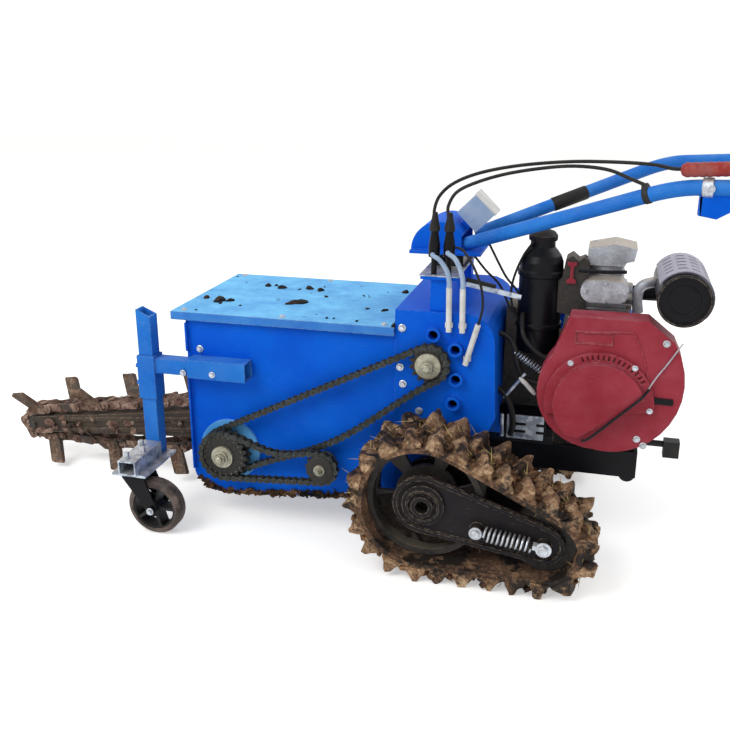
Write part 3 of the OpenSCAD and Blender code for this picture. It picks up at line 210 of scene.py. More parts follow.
# The same paint gone greyer and dustier on the tubes, which hands and mud rub. The light blue on their
# upper sides is partly dust and partly a painted highlight.
tube_enamel = enamel("weathered_blue_enamel_with_painted_lit_tops_on_tubes",
                     "#1262c0", "#2a7fd6", "#9db6cf", "#86b0dc", 0.35, 0.45, 0.12)
# Mid blue on the lid's rim and a light sky blue on top: partly bleaching by sun and dust, partly a
# painted lit top where the face looks up to the sky. Dark specks of oil.
sky_enamel = enamel("bleached_blue_enamel_with_painted_sky_light_on_the_lid", "#004fb4", "#0c67c8", "#c3b59c", "#8ad8ff",
                    0.95, 0.5, 0.1, wear=0.8, settle=-0.08, spots="#1b2a44")
# Light blue on the bearing plates, standing in for their bright reflection: a painted highlight.
painted_highlight_enamel = enamel("light_blue_enamel_as_painted_highlight",
                      "#3d92dc", "#66b0ea", "#9db6cf", "#9cc8ee", 0.3, 0.45, 0.12)
# A wine red under a pinkish film of dust, as on a hot engine cover.
red_enamel = enamel("dusty_red_stove_enamel", "#8a2230", "#a03443", "#cf9a9c", "#b97a86", 0.55, 0.45, 0.15)
# Near black, a little blue in the light, with hardly any dust: the oil-wet canister and the muffler.
black_enamel = enamel("oil_wet_black_stove_enamel",
                      "#06070b", "#0d0e14", "#38363c", "#2a292f", 0.25, 0.34, 0.16)
# Black paint under dry clay, with a pale line along each edge: partly rubbed paint, partly a painted
# highlight.
muddy_black = enamel("clay_smeared_black_frame_paint",
                     "#131116", "#1f1c20", "#a39382", "#4c4238", 0.75, 0.55, 0.15, wear=1.0)
# Dark steel under brown clay, with pale edges along its rails: partly rubbed steel, partly a painted
# highlight.
rail_steel = enamel("clay_stained_boom_rails",
                    "#332d29", "#4b433b", "#b39c86", "#6a584a", 0.95, 0.6, 0.15, wear=1.0)
# Matt, lavender-grey sheet that heat has dulled.
heat_grey = enamel("heat_dulled_guard_sheet", "#9c99a8", "#b5b2c0", "#d6d2da", "#8c8890", 0.5, 0.5, 0.3)
print("enamels:", 9)

# %% [markdown]
# ## Metals
#
# Turned shafts and nuts are bare steel, greyed by oil. The engine is cast aluminium with the fine grain of
# its sand mould and dirt in every hollow. The clamp over the depth wheel is galvanised: zinc freezes in
# flat crystals, about 15 mm across, which a Voronoi pattern draws well.

# %% Bare metals
pale_dust = linear("#b9aa96")


def bare_metal(name, light, dark, grain_mm, roughness, metal, dirt, dirty,
               crystals=False, bumps=0.15, lying=0.4):
    """Metal toned by a grain of the given size, with dirt by a larger noise and dust on what faces up."""
    material, tree, shader, where = fresh(name)
    if crystals:
        grain = add(tree, "TexVoronoi", where, Scale=per(grain_mm)).outputs["Color"]
    else:
        grain = add(tree, "TexNoise", where, Scale=per(grain_mm), Detail=6.0, Roughness=0.65)
    skin = add(tree, "ValToRGB", grain, stops=[(0.3, dark), (0.7, light)])
    cloud = add(tree, "TexNoise", where, Scale=per(45), Detail=7.0, Roughness=0.7)
    film = add(tree, "MapRange", cloud, From_Min=0.42, From_Max=0.7, To_Max=dirty)
    skin = add(tree, "Mix", film, A=skin, B=linear(dirt), data_type="RGBA")
    facing = add(tree, "SeparateXYZ", add(tree, "NewGeometry").outputs["Normal"]).outputs["Z"]
    dust = add(tree, "MapRange", facing, From_Min=0.5, From_Max=1.0, To_Max=lying)
    skin = add(tree, "Mix", dust, A=skin, B=pale_dust, data_type="RGBA")
    shine = add(tree, "MapRange", film, To_Min=metal, To_Max=0.0)
    rough = add(tree, "MapRange", film, To_Min=roughness, To_Max=0.9)
    bump = add(tree, "Bump", Height=grain, Strength=bumps, Distance=0.001)
    feed(tree, shader, {"Base Color": skin, "Metallic": shine, "Roughness": rough, "Normal": bump})
    return material


# Bright and slightly yellow, dark where oil holds the dust.
turned_steel = bare_metal("turned_bare_steel", "#c4c1ae", "#8d8a7a", 4, 0.35, 0.8, "#4a4638", 0.7)
# Silver grey with a soft shine: zinc-plated bolts, springs and clips.
bolt_zinc = bare_metal("bright_zinc_plated_steel", "#dfe4ea", "#a9b1bc", 3, 0.3, 0.85, "#6a6660", 0.45)
# Almost black with a wet shine and a green cast of grease.
oily_steel = bare_metal("oiled_chain_steel", "#4c4f4a", "#101413", 6, 0.35, 0.6, "#131b18", 0.85, lying=0.1)
# Flat black steel with brown dust in its hollows.
black_sprocket = bare_metal("blackened_sprocket_steel",
                            "#33322f", "#121312", 8, 0.42, 0.5, "#2a2520", 0.85, lying=0.1)
# Dark iron under a thin coat of dry clay, as on running gear.
dark_casting = bare_metal("dark_dusty_iron_casting",
                          "#3a3634", "#1b1919", 12, 0.6, 0.3, "#453e37", 0.8, lying=0.25)
# Large pale crystals with grey between them.
zinc_plate = bare_metal("hot_dip_galvanised_steel",
                        "#c9d3e0", "#8593a8", 15, 0.38, 0.75, "#7d756c", 0.5, crystals=True)
# Pale, cool and grainy, with black oil in the corners.
cast_aluminium = bare_metal("sand_cast_aluminium",
                            "#c8ccd4", "#a2a5ad", 5, 0.45, 0.45, "#5f5b5a", 0.55, bumps=0.3, lying=0.75)
print("metals:", 7)

# %% [markdown]
# ## Dry mud
#
# Mud is the main finish of the tracks and the boom. Wet clay is thrown on in lumps, dries pale and cracks,
# and the rubber or steel shows through where it fell off. Two sizes of noise are added up, lumps of 40 mm
# and crumbs of 8 mm. The same sum drives the colour and the bump, and a third noise of 70 mm says where the
# clay fell off.

# %% Mud over rubber and steel


def caked(name, under, deep, middle, pale, cover, metal, strength):
    """Mud in three tones by a sum of noises, over an under colour that shows where a third noise is low."""
    material, tree, shader, where = fresh(name)
    lumps = add(tree, "TexNoise", where, Scale=per(40), Detail=3.0, Roughness=0.55)
    crumbs = add(tree, "TexNoise", where, Scale=per(8), Detail=6.0, Roughness=0.7)
    height = add(tree, "Mix", 0.5, A=lumps, B=crumbs)
    clay = add(tree, "ValToRGB", height, stops=[(0.36, deep), (0.5, middle), (0.64, pale)])
    shed = add(tree, "TexNoise", where, Scale=per(70), Detail=8.0, Roughness=0.75)
    left = add(tree, "MapRange", shed, From_Min=0.62 - 0.4 * cover, From_Max=0.7 - 0.4 * cover)
    skin = add(tree, "Mix", left, A=linear(under), B=clay, data_type="RGBA")
    rough = add(tree, "MapRange", left, To_Min=0.55, To_Max=0.95)
    shine = add(tree, "MapRange", left, To_Min=metal, To_Max=0.0)
    bump = add(tree, "Bump", Height=height, Strength=strength, Distance=0.008)
    feed(tree, shader, {"Base Color": skin, "Roughness": rough, "Metallic": shine, "Normal": bump,
                        "Specular IOR Level": 0.2})
    return material


# Straw-coloured clay with dark rubber in the breaks.
lug_mud = caked("straw_mud_on_track_rubber", "#2c2420", "#4e3a2d", "#8f6f54", "#d2b490", 0.45, 0.0, 1.0)
# Leaf litter and wet clay between the lugs, brown to black.
litter_mud = caked("leaf_litter_between_the_lugs", "#1f1916", "#34261d", "#634834", "#a5805c", 0.45, 0.0, 1.0)
# Dark rubber under a coat of clay that is rubbed thin by the wheels.
belt_mud = caked("dark_mud_on_track_belt", "#251f1b", "#3a2c23", "#6b5140", "#a07f60", 0.42, 0.0, 0.9)
# Umber clay over worn, dull steel.
boom_mud = caked("umber_mud_on_worn_steel", "#4a423d", "#3e2e28", "#7a5f53", "#bea593", 0.5, 0.3, 1.0)
# Brown clay on the cutters, rubbed off by the ground in places.
wing_mud = caked("brown_clay_on_cutters", "#5a514a", "#403127", "#70594a", "#a48d79", 0.45, 0.4, 0.8)
# Black grease that has taken up clay, in the wheels and on the lid.
grease_mud = caked("clay_in_black_grease", "#141312", "#1b1715", "#2b231e", "#54453a", 0.45, 0.2, 0.8)
print("muds:", 6)

# %% [markdown]
# ## Rubber and plastic
#
# Grips, boots and cables are black moulded rubber, the lever is dipped in red vinyl, and the cable
# adjusters and the control box are pale moulded plastic that has yellowed a little. All of them are matt,
# with a fine bump.

# %% Moulded rubber and plastic


def moulded(name, colour, stained, dust, dusty, roughness):
    """Moulded plastic or rubber: two close tones in 30 mm patches, a dust film and a 1.5 mm bumpy grain."""
    material, tree, shader, where = fresh(name)
    patches = add(tree, "TexNoise", where, Scale=per(30), Detail=5.0)
    skin = add(tree, "ValToRGB", patches, stops=[(0.35, colour), (0.7, stained)])
    cloud = add(tree, "TexNoise", where, Scale=per(55), Detail=7.0, Roughness=0.7)
    film = add(tree, "MapRange", cloud, From_Min=0.42, From_Max=0.72, To_Max=dusty)
    skin = add(tree, "Mix", film, A=skin, B=linear(dust), data_type="RGBA")
    rough = add(tree, "MapRange", film, To_Min=roughness, To_Max=0.9)
    grain = add(tree, "TexNoise", where, Scale=per(1.5), Detail=2.0)
    bump = add(tree, "Bump", Height=grain, Strength=0.1, Distance=0.0005)
    feed(tree, shader, {"Base Color": skin, "Roughness": rough, "Normal": bump, "Specular IOR Level": 0.25})
    return material


# Soft black with a brown bloom of dust.
black_rubber = moulded("moulded_black_rubber", "#0f0f10", "#1a1919", "#453f38", 0.3, 0.5)
# Grey-brown, more dust than rubber.
tyre_rubber = moulded("dusty_caster_rubber", "#332e2c", "#544a45", "#97837a", 0.85, 0.65)
# Deep red with a soft shine, dirty where the fingers lie.
red_vinyl = moulded("dipped_red_vinyl", "#84231e", "#9c332b", "#b08078", 0.45, 0.4)
# Off-white with grey finger marks.
pale_plastic = moulded("yellowed_white_plastic", "#dcdcda", "#c6c6c2", "#9a968e", 0.4, 0.45)
# Blue-grey cast box with a clean, matt face.
grey_plastic = moulded("blue_grey_moulded_box", "#8aa2c2", "#a0b4cc", "#c4ccd6", 0.4, 0.45)
# Black with grey scuffs.
black_plastic = moulded("black_nylon", "#111214", "#1c1d1f", "#4c4742", 0.35, 0.45)
# Dry blades of grass, straw to olive.
dry_straw = moulded("dry_straw", "#b8a066", "#8f8a4a", "#d8c79a", 0.5, 0.7)
print("mouldings:", 7)

# %% [markdown]
# ## Finishes of the CAD nodes
#
# A CAD node whose shape is right keeps its mesh and only gets its finish. The list goes by what a piece is
# made of on the real machine.

# %% Give each CAD node its finish
finishes = {
    blue_enamel: ["box_near_wall", "box_far_wall", "box_front", "gear_case", "belt_guard", "column",
                  "handlebar_seat"],
    tube_enamel: ["depth_socket", "depth_bar", "depth_post", "handlebars"],
    painted_highlight_enamel: ["bearing_seats"],
    sky_enamel: ["lid"],
    red_enamel: ["fan_shroud", "recoil_starter"],
    black_enamel: ["air_cleaner", "muffler", "engine_frame", "caster_fork", "seat_bracket"],
    muddy_black: ["track_frames", "drive_axle", "engine_block"],
    heat_grey: ["muffler_guard"],
    turned_steel: ["head_shaft", "drive_sprocket", "cross_shaft"],
    oily_steel: ["upper_chain", "lower_chain"],
    dark_casting: ["drive_wheels", "idlers", "digging_sprocket", "nose_roller"],
    zinc_plate: ["caster_arm"],
    cast_aluminium: ["intake_pipe", "cylinder_head"],
    lug_mud: ["track_near", "track_far"],
    rail_steel: ["boom_bar"],
    boom_mud: ["digging_chain"],
    black_rubber: ["grips", "control_cables"],
    tyre_rubber: ["caster_tyre"],
    red_vinyl: ["hand_lever"],
    pale_plastic: ["cable_adjusters"],
    grey_plastic: ["control_box"],
    black_plastic: ["caster_hub", "starter_handle"],
}
for material, names in finishes.items():
    for name in names:
        mesh = nodes[name].data
        mesh.materials.clear()
        mesh.materials.append(material)
print("dressed", sum(len(names) for names in finishes.values()), "of", len(nodes), "nodes")

# %% [markdown]
# ## Floor and light
#
# The photograph is a cut-out on white, lit by an overcast sky. So a soft white sky does most of the work,
# one large lamp from the upper left gives the forms a direction, and the floor takes the shadow. The floor
# and the sky look white to the camera and to reflections, while the light that they give stays at a plain
# level.

# %% Floor, sky and lamps
white = (1.0, 1.0, 1.0, 1.0)


def seen(tree):
    """1 for rays of the camera, of reflections and of transmission, and 0 for those that light the scene."""
    rays = add(tree, "LightPath").outputs
    direct = add(tree, "Math", rays["Is Camera Ray"], rays["Is Glossy Ray"], operation="MAXIMUM")
    return add(tree, "Math", direct, rays["Is Transmission Ray"], operation="MAXIMUM")


world = bpy.data.worlds.new("overcast_sky")
scene.world = world
world.use_nodes = True
sky = world.node_tree
level = add(sky, "MapRange", seen(sky), To_Min=0.62, To_Max=1.0)
feed(sky, sky.nodes["Background"], {"Color": white, "Strength": level})

half = 12.0
floor_mesh = bpy.data.meshes.new("studio_floor")
corners = [(-half, -half, 0), (half, -half, 0), (half, half, 0), (-half, half, 0)]
floor_mesh.from_pydata(corners, [], [(0, 1, 2, 3)])
floor = bpy.data.objects.new("studio_floor", floor_mesh)
scene.collection.objects.link(floor)
floor_paint, tree, shader = fresh("white_studio_floor")[:3]
glow = add(tree, "MapRange", seen(tree), To_Max=0.4)
feed(tree, shader, {"Base Color": linear("#f4f4f2"), "Roughness": 0.9, "Emission Color": white,
                    "Emission Strength": glow})
floor_mesh.materials.append(floor_paint)

windows = (("key_window", (-2.4, -3.2, 4.2), 150), ("rear_window", (3.2, 1.6, 3.6), 60))
for name, spot, watts in windows:
    lamp_data = bpy.data.lights.new(name, "AREA")
    lamp_data.size = 3.0
    lamp_data.energy = watts
    lamp = bpy.data.objects.new(name, lamp_data)
    aim = unit(np.array([0.1, 0.0, 0.45]) - np.array(spot))
    across = unit(np.cross(aim, [0, 0, 1.0]))
    lamp.matrix_world = placed(across, np.cross(across, aim), aim, spot)
    scene.collection.objects.link(lamp)
print("lamps:", len(windows))

# %% [markdown]
# ## Meshes from whole arrays
#
# A new piece is worked out in numpy as a block of points and a list of faces, which together are called a
# shape. A few helpers are enough: one lists the faces of a grid, one closes a stack of rings into a solid,
# one copies a shape to many places with one matrix product, and one puts the result into Blender, lets it
# ride on a body and gives it its material. The others draw circles, lathe parts and extrusions, or move,
# mirror and rumple a shape.

# %% Helpers for meshes


def grid_faces(rows, columns, closed_rows=False, closed_columns=False):
    """Quads between neighbours of a rows x columns grid; a closed side joins its last line to its first."""
    i = np.arange(rows if closed_rows else rows - 1)[:, None]
    j = np.arange(columns if closed_columns else columns - 1)[None, :]
    a, b = i * columns + j, i * columns + (j + 1) % columns
    c, d = (i + 1) % rows * columns + (j + 1) % columns, (i + 1) % rows * columns + j
    return np.stack([a, b, c, d], axis=-1).reshape(-1, 4).tolist()


def stack(rings):
    """Rings of points (m, n, 3) as one closed solid: quads between rings and a flat face on both ends."""
    rings = np.asarray(rings)
    count, size = rings.shape[:2]
    faces = grid_faces(count, size, closed_columns=True)
    faces.append(list(range(size))[::-1])
    faces.append([(count - 1) * size + k for k in range(size)])
    return rings.reshape(-1, 3), faces


def join(*shapes):
    """Several shapes as one."""
    points, faces, start = [], [], 0
    for p, f in shapes:
        points.append(p)
        faces += [[k + start for k in face] for face in f]
        start += len(p)
    return np.concatenate(points), faces


def copies(shape, turns, shifts):
    """A shape at m places: every point is multiplied by a place's 3x3 turn and then moved by its shift."""
    points, faces = shape
    moved = np.einsum("mij,kj->mki", turns, points) + np.asarray(shifts)[:, None, :]
    every = [[k + m * len(points) for k in face] for m in range(len(shifts)) for face in faces]
    return moved.reshape(-1, 3), every


def piece(name, shape, material, slot, replaces=(), body="chassis", crease=35.0):
    """Puts a shape in millimetres into Blender: metres, outward normals, smooth below the crease angle."""
    points, faces = shape
    mesh = bpy.data.meshes.new(name)
    mesh.from_pydata((np.asarray(points) * 0.001).tolist(), [], faces)
    work = bmesh.new()
    work.from_mesh(mesh)
    bmesh.ops.recalc_face_normals(work, faces=work.faces)
    work.to_mesh(mesh)
    work.free()
    mesh.polygons.foreach_set("use_smooth", np.ones(len(mesh.polygons), dtype=bool))
    mesh.set_sharp_from_angle(angle=np.radians(crease))
    mesh.materials.append(material)
    obj = bpy.data.objects.new(name, mesh)
    scene.collection.objects.link(obj)
    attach(obj, body)
    if replaces:
        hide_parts(*replaces)
    print(name, len(points), "points,", len(faces), "faces")
    return obj


def circle(count, phase=0.0):
    """Points (count, 2) of a circle of radius 1, drawn as (cos, sin) at equal steps."""
    a = np.arange(count) * 2 * np.pi / count + phase
    return np.stack([np.cos(a), np.sin(a)], axis=-1)


def in_plane(points, y):
    """Side-view points (n, 2) as points in space at the given y."""
    return np.insert(np.asarray(points, float), 1, y, axis=-1)


def turned(profile, count=24, phase=0.0):
    """A lathe part on the Y axis: each (radius, y) of the profile is one ring of count points."""
    return stack([in_plane(r * circle(count, phase), y) for r, y in profile])


def extruded(outline, y0, y1):
    """A side view (n, 2) in X and Z, extruded from y0 to y1."""
    return stack([in_plane(outline, y0), in_plane(outline, y1)])


def slab(x0, x1, z0, z1, y0, y1):
    """A box between two limits on each axis."""
    return extruded([(x0, z0), (x1, z0), (x1, z1), (x0, z1)], y0, y1)


def at(shape, x, y, z):
    """A shape moved to a place."""
    return shape[0] + np.array([x, y, z]), shape[1]


def mirrored(shape):
    """The far side's twin of a near shape."""
    return shape[0] * [1, -1, 1], shape[1]


def pitch_turns(angles):
    """3x3 turns about Y that lay a shape's X axis along each angle of the side view."""
    c, s = np.cos(angles), np.sin(angles)
    zero, one = np.zeros_like(c), np.ones_like(c)
    return np.moveaxis(np.array([[c, zero, -s], [zero, one, zero], [s, zero, c]]), 2, 0)


def rumple(shape, size, height, seed):
    """Moves a shape's points by a smooth noise: a sum of 12 seeded sine waves, about size mm long."""
    draw = np.random.default_rng(seed)
    waves = draw.normal(size=(3, 12, 3)) * 2 * np.pi / size / 1.7
    phases = draw.uniform(0, 2 * np.pi, size=(3, 12))
    swell = np.sin(np.einsum("kj,awj->kaw", shape[0], waves) + phases)
    return shape[0] + height / 3.5 * swell.sum(axis=2), shape[1]


# %% [markdown]
# ## Paths round two wheels
#
# Both drive chains, the digging chain and the tracks run round two wheels of different size, so one
# function gives all of them. It goes round the second wheel, along a straight run, round the first wheel
# and back. A slack run hangs down by a squared sine, which leaves the wheels without a kink.

# %% A belt round two wheels


def belt(p, rp, q, rq, sag=(0.0, 0.0)):
    """Loop length, and a function of the distance s and the offset that gives points of the loop in X and Z.

    With a the direction from p to q and b = acos((rp - rq) / distance), the loop is the arc a-b..a+b round q,
    the run along a+b+90 degrees, the arc a+b..a-b round p and the run back along a-b+90 degrees."""
    p, q = np.array(p, float), np.array(q, float)
    gap = np.linalg.norm(q - p)
    a = np.arctan2(q[1] - p[1], q[0] - p[0])
    b = np.arccos((rp - rq) / gap)
    run = np.sqrt(gap ** 2 - (rp - rq) ** 2)
    s1 = rq * 2 * b
    s2 = s1 + run
    s3 = s2 + rp * (2 * np.pi - 2 * b)
    length = s3 + run

    def way(angle):
        return np.stack([np.cos(angle), np.sin(angle)], axis=-1)

    def straight(centre, radius, angle, t, slack):
        hang = slack * np.sin(np.pi * t / run) ** 2 * np.array([0.0, 1.0])
        return centre + radius * way(np.array(angle)) + t * way(np.array(angle + np.pi / 2)) - hang

    def point(s, off=0.0):
        s = np.asarray(s, float) % length
        off = np.asarray(off)[..., None] * np.ones_like(s)[..., None]
        t = s[..., None]
        first = q + (rq + off) * way(a - b + s / rq)
        second = straight(q, rq + off, a + b, t - s1, sag[0])
        third = p + (rp + off) * way(a + b + (s - s2) / rp)
        fourth = straight(p, rp + off, a - b, t - s3, sag[1])
        return np.where(t < s1, first, np.where(t < s2, second, np.where(t < s3, third, fourth)))

    return length, point


# %% [markdown]
# ## Roller chains
#
# A roller chain is a row of pins at a fixed pitch. Every second pair of pins is joined by two inner plates
# with rollers between them, the others by two outer plates. The plates are waisted like a figure of eight.
# One link of each kind is drawn once along +X, and copies() lays it from pin to pin, so a hundred links
# cost two short shapes.

# %% Chains of links and rollers
pitch = 19.05
# Centres of the three wheels in X and Z, and their pitch radii with 21, 15 and 13 teeth.
head_wheel, head_r = (-306.0, 204.0), 63.91
drive_wheel, drive_r = (241.0, 499.0), 45.81
cross_wheel, cross_r = (-33.0, 199.0), 39.80
upper = (head_wheel, head_r, drive_wheel, drive_r, (0.0, 36.0))
lower = (head_wheel, head_r, cross_wheel, cross_r, (24.0, 0.0))
upper_y, lower_y = -240.0, -268.0


def plate_outline(length, high, waist):
    """A link plate: half circles round both pins and a dip of waist times the height between them."""
    a = np.linspace(np.pi / 2, 3 * np.pi / 2, 7)
    left = np.stack([np.cos(a), np.sin(a)], axis=-1) * high / 2
    dip = np.array([[length / 2, high / 2 * waist]])
    return np.concatenate([left, dip * [1, -1], [length, 0] - left, dip])


def plates(outline, inside, outside):
    """Two equal plates, one on each side of the chain's middle plane."""
    return join(extruded(outline, -outside, -inside), extruded(outline, inside, outside))


def chain_pins(loop):
    """Pins on a loop, an even number of them, as near to one pitch apart as the loop allows."""
    length, point = belt(*loop)
    count = 2 * round(length / pitch / 2)
    return point(np.arange(count) * length / count)


def link_places(pins, y):
    """For every pin of a closed chain the turn towards the next pin, and its place in space."""
    ahead = np.roll(pins, -1, axis=0) - pins
    return pitch_turns(np.arctan2(ahead[:, 1], ahead[:, 0])), in_plane(pins, y)


def in_turn(even, odd, turns, spots):
    """Two shapes laid in turn at the places of a chain."""
    return join(copies(even, turns[0::2], spots[0::2]), copies(odd, turns[1::2], spots[1::2]))


def roller_chain(loop, y):
    """Inner and outer links in turn on the pins of a loop."""
    outline = plate_outline(pitch, 17.0, 0.58)
    roller = turned([(6.0, -5.0), (6.0, 5.0)], 10)
    pin = turned([(2.6, -11.0), (3.0, -10.5), (3.0, 10.5), (2.6, 11.0)], 8)
    inner = join(plates(outline, 5.0, 7.0), roller)
    outer = join(plates(outline, 7.4, 9.4), roller, pin, at(pin, pitch, 0, 0))
    return in_turn(inner, outer, *link_places(chain_pins(loop), y))


piece("upper_roller_chain", roller_chain(upper, upper_y), oily_steel, "chain_steel", ["upper_chain"])
piece("lower_roller_chain", roller_chain(lower, lower_y), oily_steel, "chain_steel", ["lower_chain"])

# %% [markdown]
# ## Tracks
#
# Each track is a rubber belt with two rows of lugs, one row half a step behind the other. A lug is a wedge
# that ends in a flat triangle at the belt's edge and runs out low and narrow past the middle, a little
# slanted, like the bars of a tractor tyre. It is lofted from one section at seven stations. All lugs of a
# track are one array, rumpled together by a smooth noise, so no two are alike.

# %% Belts and muddy lugs
sides = ((-1, "near"), (1, "far"))
lugs_each = 24
belt_steps = 180
track_front = (263.0, 193.0)
track_length, track_point = belt(track_front, 163.0, (555.0, 125.0), 95.0)


def lug_shape(edge, inner):
    """A lug on +Z, from the edge inwards: height falls by 0.4 t^2 and width by 0.35 t^3, t from 0 to 1."""
    section = np.array([[-25, -6], [-23, 2], [-15, 13], [-8, 26], [-3, 32], [4, 31], [8, 25], [14, 12],
                        [22, 2], [24, -6]], float)
    t = np.linspace(0, 1, 7)[:, None]
    x = section[:, 0] * (1 - 0.35 * t ** 3) + 16 * (0.5 - t)
    y = edge + (inner - edge) * t + 0 * x
    return stack(np.stack([x, y, section[:, 1] * (1 - 0.4 * t ** 2)], axis=-1))


def track_row(edge, inner, phase):
    """One row of lugs, set on the belt at equal steps."""
    s = (np.arange(lugs_each) + phase) * track_length / lugs_each
    step = track_point(s + 1.0) - track_point(s - 1.0)
    angles = np.arctan2(step[:, 1], step[:, 0]) + np.pi
    return copies(lug_shape(edge, inner), pitch_turns(angles), in_plane(track_point(s), 0.0))


def belt_band(y0, y1):
    """The belt: its outer side at offset 0 and its inner side 18 mm further in, with rounded edges."""
    s = np.arange(belt_steps) * track_length / belt_steps
    middle = (y0 + y1) / 2
    section = [(y0, -3), (y0 + 4, 0), (middle, 1), (y1 - 4, 0), (y1, -3), (y1, -17), (middle, -18), (y0, -17)]
    lines = np.stack([in_plane(track_point(s, np.full(belt_steps, off)), y) for y, off in section], axis=1)
    return lines.reshape(-1, 3), grid_faces(belt_steps, len(section), True, True)


def kept_in(shape, side):
    """A track's shape with its points held above the ground and within the track's width."""
    points, faces = shape
    y = side * np.clip(side * points[:, 1], 247.0, 422.0)
    return np.stack([points[:, 0], y, np.maximum(points[:, 2], 0.0)], axis=-1), faces


for side, name in sides:
    rows = join(track_row(side * 420.0, side * 325.0, 0.0), track_row(side * 250.0, side * 345.0, 0.5))
    lugs = rumple(rumple(rows, 60, 3.2, 40 + side), 20, 1.9, 41 + side)
    band = belt_band(*sorted((side * 418.0, side * 252.0)))
    piece("track_belt_" + name, band, belt_mud, "track_rubber", ["track_" + name])
    piece("track_lugs_" + name, kept_in(lugs, side), lug_mud, "track_rubber", crease=40.0)

# %% [markdown]
# ## Digging chain
#
# The digging chain is the piece that makes this machine a trencher, and the one that takes most care. Its
# links are thick side plates on stout pins, and on every second link a wing cutter is bolted, left and
# right in turn. A wing is a flat bar, bent out sideways and sheared forwards. It is drawn as a section
# across the chain, slid along the chain by the height times the tangent of its lean.

# %% Links, wings and their bolts
boom_turn = pitch_turns(np.radians([6.0]))[0]
boom_root = in_plane(head_wheel, 0.0)
boom_long = 753.0
root_r, nose_r = 75.0, 42.0
cutters = 18
lean = np.radians(24.0)
# The first wing sits this far past the foremost point of the nose.
first_turn = np.radians(24.0)
dig_length, dig_point = belt((0.0, 0.0), root_r, (-boom_long, 0.0), nose_r, (20.0, 0.0))
first_wing = nose_r * (np.arccos((root_r - nose_r) / boom_long) + first_turn)
link_step = dig_length / (2 * cutters)


def on_boom(shape):
    """Turns a shape from the boom's own frame, with the nose on -X, into the machine's frame."""
    return shape[0] @ boom_turn.T + boom_root, shape[1]


def wing(side):
    """A wing cutter: its section (y, height) at five places along the chain, sheared by its lean."""
    y, high = np.array([[29.5, -11], [29.5, 18], [62, 70], [67, 72], [74.5, 66], [40, 12], [39, -11]]).T
    stations = ((-20.0, 0.94), (-18.5, 1.0), (0.0, 1.0), (18.5, 1.0), (20.0, 0.94))
    ahead = high * np.tan(lean)
    return stack([np.stack([x + ahead, side * y, -high * bite], axis=-1) for x, bite in stations])


def hex_bolt(radius, high):
    """A bolt on -Y: a washer, six flats with a chamfer and the face of the head."""
    washer = turned([(radius * 1.45, 0.5), (radius * 1.45, -1.2), (radius * 1.3, -2.0)], 20)
    head = turned([(radius, -1.5), (radius, -high + 1.5), (radius * 0.86, -high)], 6, np.pi / 6)
    return join(washer, head)


pins = dig_point(first_wing - link_step / 2 + np.arange(2 * cutters) * link_step)
link_turns, link_spots = link_places(pins, 0.0)
outline = plate_outline(link_step, 28.0, 0.8)
core = join(turned([(11, -15), (11, 15)], 12), turned([(6, -33.5), (7.5, -32), (7.5, 32), (6, 33.5)], 10))
outer_link = join(plates(outline, 22.5, 29.5), core)
inner_link = join(plates(outline, 15.5, 22), core)
links = in_turn(outer_link, inner_link, link_turns, link_spots)
wing_turns = link_turns[0::2]
middles = link_spots[0::2] + wing_turns[:, :, 0] * link_step / 2
wings = in_turn(wing(1.0), wing(-1.0), wing_turns, middles)
small = hex_bolt(5.5, 6.0)
near_pair = join(at(small, -9, -39, 0), at(small, 9, -39, 0))
wing_bolts = in_turn(mirrored(near_pair), near_pair, wing_turns, middles)
muddy = {"slot": "muddy_steel", "body": "boom"}
piece("digging_links", on_boom(rumple(links, 30, 0.6, 7)), boom_mud, replaces=["digging_chain"], **muddy)
piece("wing_cutters", on_boom(rumple(wings, 45, 1.4, 8)), wing_mud, **muddy)
piece("wing_bolts", on_boom(wing_bolts), boom_mud, **muddy)

# %% [markdown]
# ## Clods
#
# Clay dries on a machine in clods that sit where they were thrown: on the boom's side plates, between the
# links, on the belt between two lugs. A clod is a small globe of 8 x 5 points, stretched by random sizes
# and rumpled. Its places are drawn with a seed, so that each run gives the same dirt.

# %% Clods of dry mud


def clods(spots, sizes, seed):
    """Lumps at spots (n, 3): a globe of radius 1 times sizes (n, 3), turned about Z at random and rumpled."""
    draw = np.random.default_rng(seed)
    lat = np.linspace(-1.25, 1.25, 5)[:, None]
    lon = np.arange(8)[None, :] * np.pi / 4
    globe = np.stack([np.cos(lat) * np.cos(lon), np.cos(lat) * np.sin(lon), np.sin(lat) + 0 * lon], axis=-1)
    a = draw.uniform(0, 2 * np.pi, len(spots))
    c, s = np.cos(a), np.sin(a)
    zero, one = np.zeros_like(a), np.ones_like(a)
    turns = np.moveaxis(np.array([[c, -s, zero], [s, c, zero], [zero, zero, one]]), 2, 0)
    return rumple(copies(stack(globe), turns * np.asarray(sizes)[:, None, :], spots), 16, 2.4, seed)


